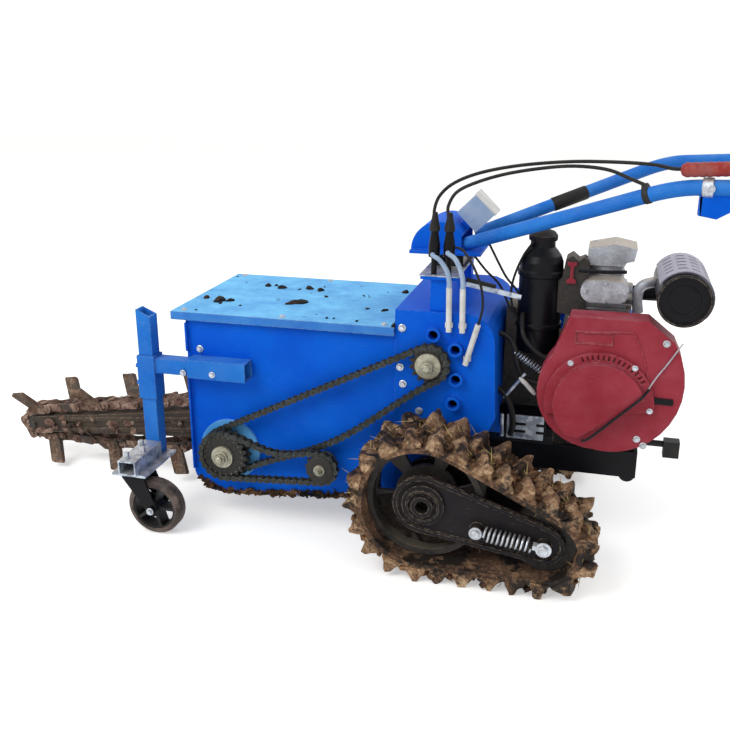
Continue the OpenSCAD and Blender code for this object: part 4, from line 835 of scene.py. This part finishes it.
draw = np.random.default_rng(11)
count = 90
along = draw.uniform(0, dig_length, count)
spots = in_plane(dig_point(along, draw.uniform(-4, 13, count)), 0.0)
spots[:, 1] = draw.uniform(-26, 26, count)
sizes = draw.uniform([7, 6, 3], [17, 11, 8], size=(count, 3))
piece("chain_clods", on_boom(clods(spots, sizes, 12)), boom_mud, **muddy)
spots = np.stack([draw.uniform(-740, -150, count), np.where(draw.random(count) < 0.5, -43.0, 43.0),
                  draw.uniform(-24, 24, count)], axis=-1)
sizes = draw.uniform([9, 3, 6], [24, 6, 14], size=(count, 3))
piece("bar_clods", on_boom(clods(spots, sizes, 13)), boom_mud, **muddy)
count = 620
for side, name in sides:
    s = draw.uniform(0, track_length, count)
    off = draw.uniform(-3, 6, count)
    # Below 150 mm the clay lies 9 mm thicker, as the ground presses it on.
    low = track_point(s)[:, 1] < 150
    spots = in_plane(track_point(s, off + np.where(low, 9, 0)), 0.0)
    spots[:, 1] = side * draw.uniform(258, 414, count)
    spots[:, 2] = np.maximum(spots[:, 2], 9.0)
    sizes = draw.uniform([7, 7, 5], [17, 18, 11], size=(count, 3))
    heap = kept_in(clods(spots, sizes, 14 + side), side)
    piece("track_clods_" + name, heap, litter_mud, "track_rubber", crease=60.0)

# %% [markdown]
# ## Mud in the wheels
#
# Clay stays in the lower half of the drive wheels and closes the windows there. It is a band of a ring,
# drawn as a grid over radius and angle and rumpled, with a second, flat grid behind it.

# %% Clay behind the wheel webs
radius = np.linspace(62, 138, 6)[:, None]
angle = np.radians(np.linspace(188, 352, 34))[None, :]
ring = np.stack([radius * np.cos(angle), radius * np.sin(angle)], axis=-1).reshape(-1, 2)
sheet = (in_plane(np.array(track_front) + ring, 0.0), grid_faces(6, 34))
for side, name in sides:
    clay = join(at(rumple(sheet, 35, 5.0, 31), 0, side * 338.0, 0), at(sheet, 0, side * 326.0, 0))
    piece("wheel_clay_" + name, clay, grease_mud, "muddy_steel", crease=60.0)

# %% [markdown]
# ## Straw
#
# Dry grass sticks to the clay between the lugs. A blade is a three-sided prism that thins out to a point.
# It is drawn once with a length of 1, and each copy's turn also carries its own length.

# %% Blades of straw
count = 170
ring = np.insert(circle(3), 0, 0.0, axis=-1)
blade = stack([ring * 1.1, ring + [0.5, 0, 0.06], ring * 0.15 + [1.0, 0, 0]])
for side, name in sides:
    s = draw.uniform(0, track_length, count)
    spots = in_plane(track_point(s, draw.uniform(4, 22, count)), 0.0)
    spots[:, 1] = side * draw.uniform(275, 405, count)
    turns = np.linalg.qr(draw.normal(size=(count, 3, 3)))[0]
    turns[:, :, 0] *= draw.uniform(18, 48, count)[:, None]
    straw = kept_in(copies(blade, turns, spots), side)
    piece("track_straw_" + name, straw, dry_straw, "track_rubber")

# %% [markdown]
# ## Sprockets, washers and nuts
#
# The rollers sit in the gaps of real sprocket teeth. A tooth flank is close to a cosine, so a sprocket is
# one ring whose radius falls to the root at each pin and rises to the tip between two pins. The pins that
# lie on the wheel give its phase. The nuts in front are bright, because oil from the chain keeps them from
# rusting.

# %% Sprocket rings and shaft nuts
tooth_half, web_half = 3.4, 6.2


def sprocket(loop, wheel, teeth, y):
    """A toothed disc on the first (0) or second (1) wheel of a loop.

    Its radius is the pitch radius - 1.5 - 5.5 cos(teeth (angle - pin angle))."""
    centre, radius = np.array(loop[2 * wheel]), loop[2 * wheel + 1]
    arms = chain_pins(loop) - centre
    held = arms[np.abs(np.linalg.norm(arms, axis=1) - radius) < 0.5]
    pin = held[len(held) // 2]
    count = teeth * 8
    a = np.arange(count) * 2 * np.pi / count
    edge = radius - 1.5 - 5.5 * np.cos(teeth * (a - np.arctan2(pin[1], pin[0])))
    half = [(8, web_half), (radius - 14, web_half), (edge[:, None], tooth_half)]
    rings = half + [(r, -depth) for r, depth in half[::-1]]
    return stack([in_plane(centre + circle(count) * r, y + depth) for r, depth in rings])


def shaft_nut(wheel, washer, nut, stud, y0, y1, y2):
    """Washer, hexagon nut and the end of the stud on one wheel's shaft, from y0 outwards."""
    plain = turned([(washer, y0), (washer, y1 + 1), (washer - 2, y1)], 36)
    flats = turned([(nut, y1 + 1), (nut, y2 + 3), (nut * 0.88, y2)], 6, np.pi / 6)
    end = turned([(stud, y2 + 1), (stud, y2 - 7), (stud - 2, y2 - 9)], 20)
    return at(join(plain, flats, end), wheel[0], 0, wheel[1])


double = join(sprocket(upper, 0, 21, upper_y), sprocket(lower, 0, 21, lower_y))
piece("black_sprockets", join(double, sprocket(lower, 1, 13, lower_y)), black_sprocket, "dark_steel")
piece("drive_sprocket_ring", sprocket(upper, 1, 15, upper_y), black_sprocket, "dark_steel")
nuts = join(shaft_nut(head_wheel, 23, 16, 9, -275.5, -284, -298),
            shaft_nut(drive_wheel, 32, 17, 9, -247, -257, -270),
            shaft_nut(cross_wheel, 11, 9, 5, -275.5, -282, -292))
piece("shaft_nuts", nuts, turned_steel, "bare_steel")
cover = turned([(37, -274.5), (37, -279), (34, -281), (16, -281)], 40)
piece("cross_cover", at(cover, cross_wheel[0], 0, cross_wheel[1]), black_sprocket, "dark_steel")

# %% [markdown]
# ## Tubes, coils and bolts
#
# Cables, hoses, wires and springs are all round sections that follow a path. smooth() rounds a few chosen
# points into a curve, tube() lays rings square to the path, and a coil is a tube on a helix. Bolts are
# copies of the one hexagon bolt above, stood upright or mirrored to the far side where needed.

# %% Helpers for small pieces


def smooth(points, steps=6):
    """Catmull-Rom curve through the points: each span is a cubic whose end slopes follow the neighbours."""
    p = np.asarray(points, float)
    p = np.concatenate([[2 * p[0] - p[1]], p, [2 * p[-1] - p[-2]]])
    t = np.linspace(0, 1, steps, endpoint=False)[:, None]
    a, b, c, d = p[:-3, None], p[1:-2, None], p[2:-1, None], p[3:, None]
    curve = b + 0.5 * t * (c - a + t * (2 * a - 5 * b + 4 * c - d + t * (3 * b - a - 3 * c + d)))
    return np.concatenate([curve.reshape(-1, 3), p[-2:-1]])


def tube(points, radius, sides=10):
    """A tube along a path, with one radius or one for each point. Rings stand square to the path."""
    p = np.asarray(points, float)
    ahead = unit(np.gradient(p, axis=0))
    least = np.eye(3)[np.argmin(np.abs(ahead).max(axis=0))]
    u = unit(np.cross(ahead, least))
    v = np.cross(ahead, u)
    c, s = circle(sides).T[:, None, :, None]
    radius = np.broadcast_to(radius, len(p))[:, None, None]
    return stack(p[:, None] + radius * (c * u[:, None] + s * v[:, None]))


def coil(start, end, radius, wire_r, turns):
    """A spring from start to end: a helix whose first loop begins on the near side."""
    start, end = np.array(start, float), np.array(end, float)
    far = np.array([0, 1.0, 0])
    above = np.cross(unit(end - start), far)
    t = np.linspace(0, 1, turns * 16 + 1)[:, None]
    a = 2 * np.pi * turns * t
    return tube(start + (end - start) * t + radius * (np.sin(a) * above - np.cos(a) * far), wire_r, 8)


def upright(shape):
    """A shape on -Y turned to stand on +Z."""
    return shape[0][:, [0, 2, 1]] * [1, 1, -1], shape[1]


def bolts(radius, high, places, stand=None):
    """Equal bolts at places, on -Y as drawn or turned first by the function stand."""
    bolt = hex_bolt(radius, high)
    if stand:
        bolt = stand(bolt)
    return join(*[at(bolt, *place) for place in places])


# %% [markdown]
# ## Bolts and springs
#
# Zinc-plated bolts hold the gear case, the walls and the socket. The track tension spring shows as bright
# rings between its anchor and the rear wheel's eye, with a nut on both.

# %% Bolts, springs and their nuts
case_bolts = bolts(7.0, 7.0, in_plane([(168, 582), (164, 480), (172, 436), (215, 367)], -220))
plate_bolts = join(case_bolts, bolts(7.0, 7.0, [(-383, -215, 481)]))
socket_bolts = bolts(6.0, 6.0, in_plane([(-412, 427), (-329, 429)], -265))
piece("case_bolts", join(plate_bolts, mirrored(plate_bolts), socket_bolts), bolt_zinc, "bare_steel")
anchor, eye = np.array([395.0, -400.0, 145.0]), np.array([555.0, -400.0, 125.0])
along = unit(eye - anchor)
spring = join(coil(anchor + 20 * along, anchor + 132 * along, 16.5, 2.7, 10),
              bolts(11.0, 9.0, [anchor - [0, 8, 0]]), bolts(13.0, 11.0, [eye - [0, 8, 0]]),
              tube([eye - 26 * along, eye - 14 * along], 11.0, 6))
piece("track_springs", join(spring, mirrored(spring)), bolt_zinc, "bare_steel")
clamp_bolts = bolts(8.0, 16.0, [(-533, -380, 219.5), (-533, -300, 219.5), (-507, -340, 219.5)], upright)
piece("clamp_bolts", clamp_bolts, bolt_zinc, "galvanised_steel", body="depth_post")
caster_nut = at(hex_bolt(7.0, 8.0), -470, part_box("caster_hub")[0][1] * 1000, 76)
piece("caster_nut", caster_nut, bolt_zinc, "bare_steel", body="caster_wheel")

# %% [markdown]
# ## Cables
#
# The CAD cables are chains of straight stretches. Here the same points carry a smooth, round cable with a
# moulded sleeve at both boots. Two long cables go up to the near handlebar and the hand lever, a short one
# goes from the lowest adjuster to the bracket, and two stiff hoods stand on the other adjusters.

# %% Smooth control cables
bar_start, bar_bend = np.array([300.0, -72.0, 771.7]), np.array([774.5, -270.0, 952.0])
bar_end = np.array([1146.5, -332.0, 966.0])
run = unit(bar_bend - bar_start)
above = unit(np.array([0, 0, 1.0]) - run[2] * run)


def on_bar(u):
    """A point on the near bar's straight part, from its seat (0) to its bend (1)."""
    return bar_start + u * (bar_bend - bar_start)


def cable(name, points, radius, replaces=()):
    """A round cable on a smooth curve, with both ends on the machine."""
    line = smooth(points)
    made = piece(name, tube(line, radius), black_rubber, "grip_rubber", replaces)


sleeve = upright(turned([(13, 0), (13, -8), (8, -30), (6, -44)], 16))
boots = join(at(sleeve, 277, -204, 824), at(sleeve, 241, -204, 824))
piece("cable_boots", boots, black_rubber, "grip_rubber")
long_a = [(277, -204, 826), (277, -204, 840), (272, -202, 862), (271, -196, 884), (288, -187, 914),
          (330, -178, 936), (400, -172, 958), (490, -178, 975), (560, -192, 982), (628, -212, 978),
          (676, -228, 962), on_bar(0.88) + 21.2 * above]
long_b = [(241, -204, 826), (241, -204, 840), (238, -200, 872), (248, -186, 905), (280, -170, 934),
          (340, -160, 958), (430, -160, 977), (540, -178, 990), (640, -210, 995), (720, -243, 995),
          (760, -267, 990), (781.9, -271.2, 990.4)]
short_c = [(357, -230, 607), (361.2, -230, 622.5), (366, -230, 655), (360, -229, 700), (340, -222, 745),
           (316, -210, 776), (303, -204, 784), (291.4, -204, 786)]
for name, points, radius in (("bar_cable", long_a, 4.0), ("lever_cable", long_b, 4.0),
                             ("adjuster_cable", short_c, 3.0)):
    cable(name, points, radius, ["control_cables"])

# %% Clip, hoods and lid of the control box
# The clip holds the first cable's end on the bar: a ring round both, pulled up into an eye over the cable.
a = np.linspace(0, 2 * np.pi, 40, endpoint=False)
clip_r = 18.6 + 8.6 * np.exp(-((a - np.pi / 2) / 0.42) ** 2)
ring = clip_r[:, None] * (np.cos(a)[:, None] * np.cross(run, above) + np.sin(a)[:, None] * above)
clip_ends = ((0.862, 0.94), (0.865, 1.0), (0.885, 1.0), (0.888, 0.94))
clip = stack([on_bar(u) + ring * grow for u, grow in clip_ends])
piece("cable_clip", clip, black_plastic, "black_plastic")
short_a = [(284, -230, 693), (284, -230, 705), (279, -231, 730), (262, -232, 757), (246, -233, 768),
           (241, -228, 770), (241, -218.4, 770)]
short_b = [(317, -230, 693), (317, -230, 705), (312, -231, 732), (298, -232, 762), (283, -233, 774),
           (277, -228, 776), (277, -218.4, 776)]
hoods = [tube(smooth(p), np.linspace(6.5, 5.0, 37)) for p in (short_a, short_b)]
piece("cable_hoods", join(*hoods), grey_plastic, "white_plastic")
# The box leans by 45 degrees over the handlebar seat, and its lid is drawn in the box's own directions.
c = np.cos(np.radians(45.0))
local = np.array([(-41, 152), (33, 152), (33.5, 153), (32.5, 156), (-40.5, 156), (-41.5, 153)])
box_lid = local @ [[c, -c], [c, c]] + [232, 755]
piece("control_box_lid", extruded(box_lid, -44, 44), pale_plastic, "white_plastic")

# %% [markdown]
# ## Dirt on the lid and the walls
#
# Black clods of clay and grease lie on the lid, where the chain throws them. A rubber seal closes the gap
# behind the lid, and a crust of clay has dried along the lower edge of the wall, where the chain throws it
# too.

# %% Lid dirt, seal and wall crust
lid_top = 584.0
crumbs = 26
heaps = np.array([(-374, -93, 26), (-345, -91, 15), (-420, -77, 12), (-153, -62, 25), (-175, -79, 16),
                  (-102, 21, 8), (-308, 101, 14), (-257, 89, 16), (-178, 98, 15), (-140, 83, 13),
                  (42, -74, 8), (88, -83, 10), (98, 123, 12), (126, 168, 12), (-222, -46, 6),
                  (-360, -120, 9), (-285, 112, 9), (-205, 84, 9)], float)
spots = heaps * [1, 1, 0] + [0, 0, lid_top + 1]
strewn = draw.uniform([-440, -215, lid_top], [140, 215, lid_top + 1], size=(crumbs, 3))
spots = np.concatenate([spots, strewn])
sizes = heaps[:, 2:] * [1, 0.6, 0.3] + [0, 0, 1]
sizes = np.concatenate([sizes, draw.uniform([1.5, 1.5, 1], [4.5, 3.5, 2.2], size=(crumbs, 3))])
seal = tube(smooth([(147, -229, 587), (148, -100, 586), (147, 60, 587), (148, 200, 586)]), 5.0)
piece("lid_dirt", join(clods(spots, sizes, 21), seal), grease_mud, "black_plastic", crease=60.0)
screws = bolts(6.0, 5.0, [(x, y, lid_top) for x in (-425, -150, 120) for y in (-210, 210)], upright)
piece("lid_screws", screws, bolt_zinc, "bare_steel")
# The wall's lower edge is a round front corner, then a line that rises to the rear.
count = 330
x = draw.uniform(-400, 140, count)
corner = 123 - 55 * np.sqrt(np.clip(1 - ((x + 290) / 130) ** 2, 0, 1))
low = np.where(x < -290, corner, 68 + (x + 290) * 42 / 440)
spots = in_plane(np.stack([x, low + draw.uniform(1, 20, count) * draw.random(count)], axis=-1), -216.0)
crust = clods(spots, draw.uniform([6, 2, 2.5], [15, 4, 6], size=(count, 3)), 22)
piece("wall_crust", join(crust, mirrored(crust)), litter_mud, "muddy_steel", crease=60.0)

# %% [markdown]
# ## Engine trim
#
# The red cover has a pressed bead, bolts round the starter and a black stay across it. Between cleaner and
# head sit a red bracket and a throttle rod. The head shows machined rings, the muffler's end a rolled rim
# and the canister a dusty cap. Each is a short tube, a lathe profile or a bolt, laid on the CAD surface.

# %% Red and black trim
cover_y = -210
muffler_axis = (819, 0, 692)
side_bead = [(606, 601), (660, 606), (717, 609), (735, 574), (750, 529), (762, 480)]
plate_bead = [(586, 603), (672, 603), (672, 574), (586, 574), (586, 603)]
beads = join(tube(in_plane(side_bead, cover_y), 3.0), tube(in_plane(plate_bead, cover_y), 2.2, 8))
bracket = extruded([(550, 689), (573, 689), (573, 697), (566, 702), (566, 730), (573, 735), (573, 742),
                    (550, 742), (550, 735), (558, 730), (558, 702), (550, 697)], -92, -84)
piece("red_trim", join(beads, bracket), red_enamel, "red_paint")
flange_bolts = bolts(5.0, 5.0, in_plane([(579, 527), (726, 527), (768, 424)], -222.5))
shroud_bolts = bolts(6.0, 5.0, in_plane([(746, 345), (762, 330), (791, 588)], cover_y))
piece("shroud_bolts", join(flange_bolts, shroud_bolts), bolt_zinc, "bare_steel")
stay_line = [(618, -244, 341), (638, -246, 352), (702, -248, 418), (742, -247, 459), (762, -230, 480)]
stay = tube(smooth(stay_line), 3.4)
strap = extruded([(764, 440), (818, 439), (820, 446), (818, 454), (764, 455)], -214, -209)
throttle = tube([(578, -110, 727), (640, -118, 728), (690, -110, 729)], 4.5)
ring = turned([(30, -211.5), (31, -214.5), (35, -214.5), (36, -211.5)], 40)
piece("black_trim", join(stay, strap, throttle, at(ring, *muffler_axis)), black_enamel, "black_paint")
# The rim takes the black frame paint so that its edges show a pale ring: a painted highlight on the rolled
# rim.
rim_line = ((54, -213), (54, -219), (57, -221.5), (60.5, -219), (60.5, -213))
rim = (np.concatenate([in_plane(r * circle(48), y) for r, y in rim_line]), grid_faces(5, 48, True, True))
piece("muffler_rim", at(rim, *muffler_axis), muddy_black, "black_paint")

# %% Head trim, dark castings and cap
elbow_line = [(726, -62, 620), (721, -62, 650), (723, -62, 676), (735, -62, 691), (758, -50, 696)]
elbow = tube(smooth(elbow_line), 13.0, 16)
wire_run = tube(smooth([(759, -228, 477), (775, -216, 505), (800, -214, 545), (826, -213, 592)]), 1.8, 6)
ring = upright(turned([(45, 3), (48, 1.5), (48, -1.5), (45, -3)], 40))
rings = [at(ring, 640, 0, z) for z in (668, 682, 696, 710, 724)]
head_bolts = bolts(6.0, 6.0, [(x, y, z) for x, z in ((610, 769), (646, 775)) for y in (-38, 38)], upright)
cover_bolts = bolts(5.0, 5.0, in_plane([(596, 678), (643, 700), (690, 678), (643, 656)], -113))
head_trim = join(elbow, wire_run, *rings, head_bolts, cover_bolts)
piece("head_trim", head_trim, cast_aluminium, "cast_aluminium")
manifold = extruded([(524, 612), (600, 604), (602, 742), (590, 752), (576, 744), (562, 756), (546, 748),
                     (540, 700), (528, 690)], -84, -24)
governor = extruded([(406, 352), (548, 352), (556, 420), (540, 470), (552, 520), (500, 545), (470, 575),
                     (440, 612), (406, 618)], -70, 70)
dark = rumple(join(manifold, governor), 40, 2.0, 51)
piece("dark_castings", dark, dark_casting, "dark_steel", crease=25.0)
cap = upright(turned([(34, -787), (35.5, -790), (35.5, -800), (28, -809), (8, -816)], 32))
piece("cleaner_cap", at(cap, 486, -55, 0), muddy_black, "black_paint")

# %% [markdown]
# ## Rear and far side of the engine
#
# From behind, a crankcase of this kind shows a bolted cover with a raised middle, cast ribs beside it and
# the oil filler, and the belt guard has a pressed bead inside its edge. The cover's outline is a circle
# whose cosine and sine are raised to a power below one, which squares it and leaves round corners, and the
# bead follows the same two-wheel loop as the chains.

# %% Crankcase cover and guard bead
cover_z = 446


def soft_rectangle(wide, tall, power=0.3, count=48):
    """A rectangle with round corners: half the size times the signed power of the cosine and of the sine."""
    way = circle(count, np.pi / count)
    return 0.5 * np.array([wide, tall]) * np.sign(way) * np.abs(way) ** power


def rearward(shape):
    """A shape on -Y turned to stand on +X."""
    return shape[0][:, [1, 0, 2]] * [-1, 1, 1], shape[1]


block_rear, block_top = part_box("engine_block")[1][0] * 1000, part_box("engine_block")[1][2] * 1000
steps = [(190, 172, 0), (190, 172, 6), (186, 168, 8), (160, 142, 8), (152, 134, 17), (144, 126, 20)]
cover = stack([in_plane(soft_rectangle(w, h), 1.0 - y) for w, h, y in steps])
rib = stack([in_plane(soft_rectangle(9 - 3 * k, 160 - 6 * k), 1.0 - 11 * k) for k in (0.0, 0.8, 1.0)])
ribs = [at(rib, x, 0, cover_z) for x in (-126, -112, 112, 126)]
filler = turned([(20, 1), (20, -6), (14, -9), (14, -22), (18, -24), (18, -34), (14, -37)], 24)
casting = join(at(cover, 0, 0, cover_z), *ribs, at(filler, 142, 0, 388))
piece("crankcase_cover", at(rearward(casting), block_rear, 6, 0), dark_casting, "dark_steel")
rim = [(x, -7.0, cover_z + z) for x in (-84, 0, 84) for z in (-75, 0, 75) if x or z]
base_nuts = bolts(7.0, 9.0, [(x, y, block_top) for x in (564, 730) for y in (-84, 70, 136)], upright)
rear_bolts = join(at(rearward(bolts(5.5, 6.0, rim)), block_rear, 6, 0), base_nuts)
piece("crankcase_bolts", rear_bolts, bolt_zinc, "bare_steel")
guard_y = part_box("belt_guard")[1][1] * 1000
bead_length, bead_point = belt((646, 451), 98, (262, 510), 63)
bead = in_plane(bead_point(np.linspace(0, bead_length, 121)), guard_y)
piece("guard_bead", tube(bead, 3.2, 8), blue_enamel, "blue_paint")
guard_spots = in_plane([(746, 451), (560, 552), (396, 562), (270, 450), (450, 404)], -guard_y)
piece("guard_bolts", mirrored(bolts(6.0, 6.0, guard_spots)), bolt_zinc, "bare_steel")

# %% [markdown]
# ## Behind the gear case
#
# In the gap between gear case and engine sit a slotted bracket, a pale lever, hoses and the governor's
# spring. Thin wires hang from the handlebar seat and the air cleaner, and two flat bars brace the column.
# Hoses and wires are cords with both ends on the machine.

# %% Bracket, hoses and linkage
slotted = [slab(430, 523, z, z + h, -154, -150) for z, h in ((292, 16), (316, 12), (336, 20))]
slotted += [slab(x, x + w, 292, 356, -153.5, -150.5) for x, w in ((430, 14), (478, 26))]
brace = extruded([(312, 681), (447, 656), (449, 667), (314, 692)], -153, -147)
rods = [tube([(420, -160, 402), (470, -160, 470)], 4.0), tube([(418, -165, 360), (420, -165, 300)], 5.0),
        coil((440, -150, 520), (520, -150, 470), 8.0, 1.6, 12)]
mat = extruded([(207, 715.8), (304, 715.8), (305, 717), (303, 719), (208, 719), (206, 717)], -221, 221)
piece("gap_steel", join(*slotted, brace, *rods, mat), zinc_plate, "galvanised_steel")
lever_line = smooth([(456, -165, 460), (474, -165, 444), (496, -160, 418)])
piece("gap_lever", tube(lever_line, [3, 4, 5] + 8 * [6] + [5, 4]), pale_plastic, "white_plastic")
hoses = [(7.0, [(398, -130, 562), (424, -138, 552), (440, -150, 530), (450, -155, 490), (470, -150, 455),
                (520, -150, 440)]),
         (6.0, [(450, -97, 606), (452, -125, 585), (462, -144, 556), (500, -150, 520), (545, -150, 505)]),
         (8.0, [(403, -150, 424), (425, -157, 405), (440, -160, 375), (445, -155, 330), (440, -150, 300)]),
         (3.0, [(321, -80, 742), (350, -80, 708), (387, -80, 672), (414, -80, 618), (435, -75, 592)]),
         (3.0, [(348, -80, 790), (399, -80, 698), (439, -80, 644), (470, -90, 520)]),
         (3.0, [(475, -80, 800), (443, -80, 752), (423, -80, 700), (416, -80, 658), (421, -80, 618),
                (435, -75, 592)])]
for k, (radius, points) in enumerate(hoses):
    cable("gap_hose_" + str(k + 1), points, radius)
flat_black = extruded([(312, 694), (386, 681), (387, 690), (314, 704)], -160, -154)
piece("black_brace", flat_black, black_rubber, "grip_rubber")

# %% [markdown]
# ## Handlebar fittings
#
# A rubber band is wound round the far bar, a folded blue bracket hangs under the near one, and the moulded
# grips have rings for the fingers. A grip's ring is a radius that swells and shrinks by a cosine along the
# bar.

# %% Band, bracket and grips
far = np.array([1.0, -1.0, 1.0])
band = tube([on_bar(u) * far for u in (0.40, 0.405, 0.575, 0.58)], [17.2, 18.6, 18.6, 17.2], 24)
piece("bar_band", band, black_rubber, "grip_rubber")
t = np.linspace(0, 1, 66)
grip_line = bar_end + unit(bar_end - bar_bend) * (3.0 - 133.0 * (1 - t))[:, None]
swell = 20.6 + 1.2 * np.cos(t * 2 * np.pi * 11)
swell[[0, -1]] = 22.0
grip = tube(grip_line, swell, 20)
piece("ribbed_grips", join(grip, mirrored(grip)), black_rubber, "grip_rubber", ["grips"])
t = np.linspace(0, 1, 60)
lever_a, lever_b = np.array([775.0, -271.0, 988.0]), np.array([997.7, -307.2, 1003.2])
ends = np.clip(np.minimum(t, 1 - t) / 0.06, 0.0, 1.0)
lever_r = 14.5 * np.sqrt(1 - (1 - ends) ** 2) + 0.6 * np.cos(t * 2 * np.pi * 15) + 0.8
lever = tube(lever_a + t[:, None] * (lever_b - lever_a), lever_r, 18)
piece("dipped_lever", lever, red_vinyl, "red_plastic", ["hand_lever"])
clamp = [bar_bend + u * (bar_end - bar_bend) for u in (0.13, 0.135, 0.185, 0.19)]
post = tube([clamp[1] + [4, 0, 15], clamp[1] + [4, 0, 37]], 6.5, 8)
screw = at(hex_bolt(6.0, 6.0), *(clamp[2] + [-6, -21, 0]))
piece("lever_clamp", join(tube(clamp, [20, 21.5, 21.5, 20], 28), post, screw), bolt_zinc, "bare_steel")
hanger = extruded([(819, 934), (824, 941), (880, 944), (886, 938), (886, 908), (856, 890), (822, 896)],
                  -290, -285)
piece("bar_hanger", join(hanger, slab(819, 824, 896, 938, -290, -262)), blue_enamel, "blue_paint")
